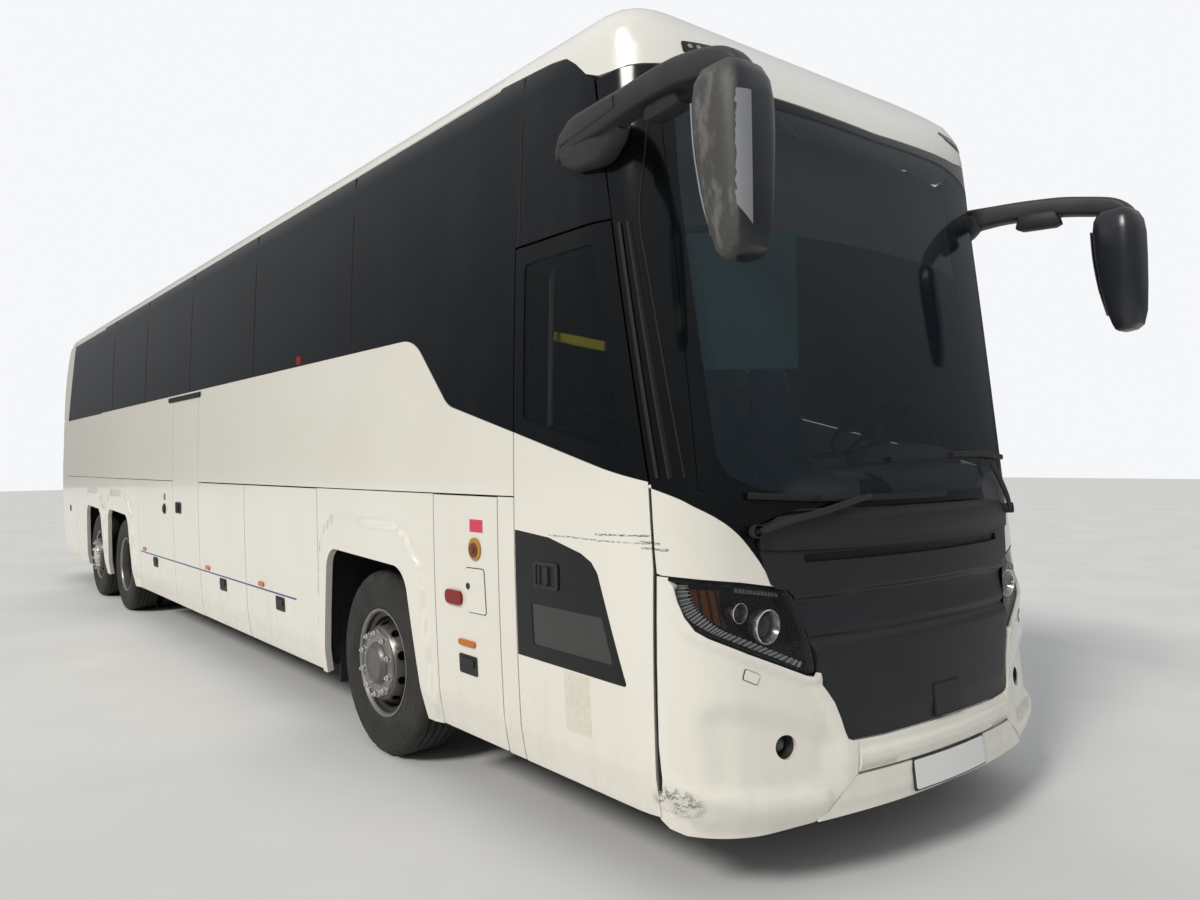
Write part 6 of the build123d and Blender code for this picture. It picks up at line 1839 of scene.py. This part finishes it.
def makeDashboard():
    dash = Shape()
    coachBar(dash, [(2.27, -0.150, 1.300, 0.250, 0.240), (2.26, -0.120, 1.305, 0.300, 0.270),
                    (2.25, 0.200, 1.310, 0.310, 0.280), (2.24, 0.650, 1.310, 0.300, 0.285),
                    (2.20, 0.900, 1.305, 0.260, 0.275), (2.12, 1.080, 1.300, 0.200, 0.260),
                    (2.05, 1.170, 1.300, 0.130, 0.220)], sides=28, power=5.0, smooth=4)
    coachBar(dash, [(2.12, 0.330, 1.560, 0.100, 0.050), (2.11, 0.400, 1.585, 0.150, 0.090),
                    (2.11, 0.650, 1.592, 0.165, 0.105), (2.11, 0.900, 1.585, 0.150, 0.090),
                    (2.12, 0.970, 1.560, 0.100, 0.050)], sides=24, power=3.0, smooth=4)
    dash.make("dashboardForm", "dash_plastic", "dash", "dashboard", sharp=40.0)
    dials = Shape()
    boxAt(dials, (frontAxle + 1.945, 0.650, 1.600), (0.006, 0.190, 0.055))
    boxAt(dials, (frontAxle + 1.950, 0.180, 1.450), (0.008, 0.120, 0.070))
    dials.make("dashScreens", "dash_plastic", "black")
    shelf = Shape()
    front = [(float(onSkin("front", y, 1.425)[0]) - 0.035, y) for y in np.linspace(-1.06, 1.06, 25)]
    back = [(frontAxle + 2.16, 1.10), (frontAxle + 2.22, 0.60), (frontAxle + 2.22, -0.80), (frontAxle + 2.10, -1.10)]

    def place(a, b):
        return np.stack([a, b, 1.425 + 0.0 * a], axis=-1)
    solidPatch(shelf, front + back, place, 0.018, cell=0.12)
    shelf.make("screenShelf", "dash_plastic", "dash")
    ring = Shape()
    centre = Vector((frontAxle + 1.900, 0.650, 1.790))
    axis = Vector((-0.64, 0, 0.77)).normalized()
    ringOn(ring, centre, axis, inside["wheelRadius"], inside["wheelTube"])
    level = axis.cross(Vector((0, 1, 0))).normalized()
    for turn in (math.radians(100), math.radians(260), math.radians(180)):
        out = level * -math.cos(turn) + Vector((0, 1, 0)) * math.sin(turn)
        sweptBar(ring, [(centre - axis * 0.022 + out * 0.04, 0.026, 0.010),
                        (centre - axis * 0.012 + out * 0.13, 0.018, 0.008), (centre + out * 0.215, 0.016, 0.008)],
                 sides=10, power=2.4, smooth=3)
    sweptBar(ring, [(centre - axis * 0.290, 0.036, 0.036), (centre - axis * 0.060, 0.040, 0.040),
                    (centre - axis * 0.045, 0.066, 0.066), (centre - axis * 0.016, 0.064, 0.064),
                    (centre - axis * 0.010, 0.040, 0.040)], sides=20, power=2.0, smooth=2)
    ring.make("steeringRing", "black_plastic", "plastic", "steering_wheel", sharp=45.0)
    onePiece("sunBlind", "dash_plastic", "teal", frontPatch,
             [(-1.010, 1.965), (-0.570, 1.985), (-0.510, 2.545), (-1.020, 2.490)], 0.004, lift=-0.060, cell=0.10)
    onePiece("headerTrim", "dash_plastic", "dash", frontPatch,
             [(-1.020, 2.545), (1.020, 2.545), (1.030, 2.985), (-1.030, 2.985)], 0.010, lift=-0.110, cell=0.12)
    onePiece("yellowGrip", "dash_plastic", "yellow", coachBar,
             [(1.535, -1.110, 2.172, 0.010, 0.020), (1.700, -1.105, 2.132, 0.012, 0.022),
              (1.860, -1.090, 2.094, 0.010, 0.020)], sides=10, power=3.0, smooth=2, body="front_door")


makeSeats()
makeDashboard()
print("inside made")


# Small fittings
fittingSlots = {"white": "white_paint", "blue": "white_paint", "plastic": "black_plastic", "rubber": "black_plastic",
                "brownCore": "black_plastic", "amber": "lamp_lens", "red": "lamp_lens", "gold": "lamp_lens",
                "pinkMark": "lamp_lens"}


def fitting(name, body, side, finish, *pieces):
    # pieces: (outline in side view, thickness, how far it stands off the skin)
    shape = Shape()
    for outline, thick, lift in pieces:
        skinPatch(shape, side, outline, thick, cell=0.05, lift=lift)
    shape.make(name, fittingSlots[finish], finish, body=body)


def softBox(x, z, halfX, halfZ, radius=0.010):
    return softRectangle(frontAxle + x - halfX, frontAxle + x + halfX, z - halfZ, z + halfZ,
                         min(radius, halfX * 0.95, halfZ * 0.95), 4)


sideFittings = {"handles": (-5.040, -2.815, -1.510), "markers": (-5.488, -3.223, -1.883), "stripe": (-5.680, -1.200),
                "lids": (-5.731, -0.797), "leftLids": 3}


def lidFittings(side, tag, body, x0, x1, handles, markers):
    low, high = max(x0 + 0.008, sideFittings["stripe"][0]), min(x1 - 0.008, sideFittings["stripe"][1])
    if high > low:
        stripe = rectangle(frontAxle + low, frontAxle + high, 0.7265, 0.7365)
        fitting(f"pinstripe_{tag}", body, side, "blue", (stripe, 0.003, 0.0015))
    for x in handles:
        fitting(f"lidHandle_{tag}", body, side, "plastic", (softBox(x, 0.667, 0.085, 0.048, 0.012), 0.006, 0.004),
                (softBox(x, 0.680, 0.062, 0.022, 0.008), 0.010, 0.012))
    for x in markers:
        fitting(f"sideMarker_{tag}", body, side, "amber", (softBox(x, 0.767, 0.055, 0.016, 0.015), 0.012, 0.010))


def makeFittings():
    panels = [(-5.731, -4.309, "coach"), (-4.309, -3.463, "mid_door"), (-3.463, -2.232, "luggage_lid_right_rear"),
              (-2.232, -0.797, "luggage_lid_right_front")]
    for number, (x0, x1, body) in enumerate(panels):
        lidFittings("right", f"right_{number + 1}", body, x0, x1,
                    [x for x in sideFittings["handles"] if x0 < x < x1],
                    [x for x in sideFittings["markers"] if x0 < x < x1])
    start, end = sideFittings["lids"]
    span = (end - start) / sideFittings["leftLids"]
    for number in range(sideFittings["leftLids"]):
        x0, x1 = start + span * number, start + span * (number + 1)
        lidFittings("left", f"left_{number + 1}", f"luggage_lid_left_{number + 1}", x0, x1, [(x0 + x1) / 2],
                    [(x0 + x1) / 2 - 0.45])
    ring = ringAround((frontAxle - 4.619, 1.208), 0.050)
    fitting("fillerKnob", "coach", "right", "plastic", (ring, 0.008, 0.006), (shrunk(ring, 0.016), 0.010, 0.014))
    fitting("redMark_mid", "coach", "right", "red", (softBox(-4.609, 1.322, 0.030, 0.030, 0.003), 0.002, 0.0015))
    fitting("glassMark", "coach", "right", "red", (softBox(-1.128, 2.300, 0.042, 0.026, 0.003), 0.002, 0.0015))
    filler = rounded([(frontAxle + 1.023, 1.137), (frontAxle + 1.193, 1.141), (frontAxle + 1.204, 0.929),
                      (frontAxle + 1.041, 0.926)], 0.018, 4)
    core = (frontAxle + 1.112, 1.222)
    for side, body in (("right", "service_flap"), ("left", "coach")):
        for name, finish, *pieces in (
                ("markPlate", "pinkMark", (softBox(1.127, 1.333, 0.057, 0.029, 0.003), 0.002, 0.0015)),
                ("valveRing", "gold", (ringAround((frontAxle + 1.116, 1.226), 0.053, 28), 0.008, 0.007)),
                ("valveCore", "brownCore", (ringAround(core, 0.033, 22), 0.010, 0.013),
                 (ringAround(core, 0.015, 16), 0.012, 0.019)),
                ("fillerGap", "rubber", (filler, 0.002, 0.0012)),
                ("fillerFlap", "white", (shrunk(filler, 0.004), 0.003, 0.0035)),
                ("flapLock", "plastic", (ringAround((frontAxle + 1.050, 1.050), 0.015, 14), 0.005, 0.008),
                 (softBox(1.022, 0.678, 0.081, 0.045, 0.010), 0.006, 0.004),
                 (softBox(1.022, 0.690, 0.060, 0.020, 0.008), 0.010, 0.012)),
                ("sideRed", "red", (softBox(0.916, 0.985, 0.076, 0.034, 0.030), 0.016, 0.014)),
                ("sideAmber", "amber", (softBox(1.022, 0.780, 0.074, 0.014, 0.013), 0.012, 0.010))):
            fitting(f"{name}_{side}", body, side, finish, *pieces)
    slot = rounded([(0.985, 3.252), (0.763, 3.270), (0.800, 3.232), (0.935, 3.205), (0.990, 3.203)],
                   {0: 0.008, 1: 0.008, 3: 0.010, 4: 0.008}, 3)
    onePiece("domeMarkers", "lamp_lens", "bowl", frontPair, slot, 0.004, lift=0.002, cell=0.04)
    eyes = Shape()
    for y in (0.955, 0.915, 0.870):
        eye = ringAround((y, 3.233 + (0.955 - y) * 0.07), 0.010, 12)
        frontPair(eyes, eye, 0.003, lift=0.004, cell=0.03)
    eyes.make("domeMarkerEyes", "lamp_lens", "ledRow")


makeFittings()
print("fittings made")


# Floor
def makeFloor():
    g = Finish("paleFloor")
    place = g.place()
    cloud = g.noise(place, 0.9, 5.0)
    base = g.mixed(cloud.between(0.3, 0.7), (0.66, 0.66, 0.65), (0.70, 0.70, 0.69))
    material = g.done(g.shine(Base_Color=base, Roughness=0.85 + cloud * 0.05))
    mesh = bpy.data.meshes.new("studioFloor")
    reach = 60.0
    mesh.from_pydata([(-reach, -reach, 0), (reach, -reach, 0), (reach, reach, 0), (-reach, reach, 0)], [],
                     [(0, 1, 2, 3)])
    mesh.materials.append(material)
    floor = bpy.data.objects.new("studioFloor", mesh)
    bpy.context.scene.collection.objects.link(floor)


makeFloor()
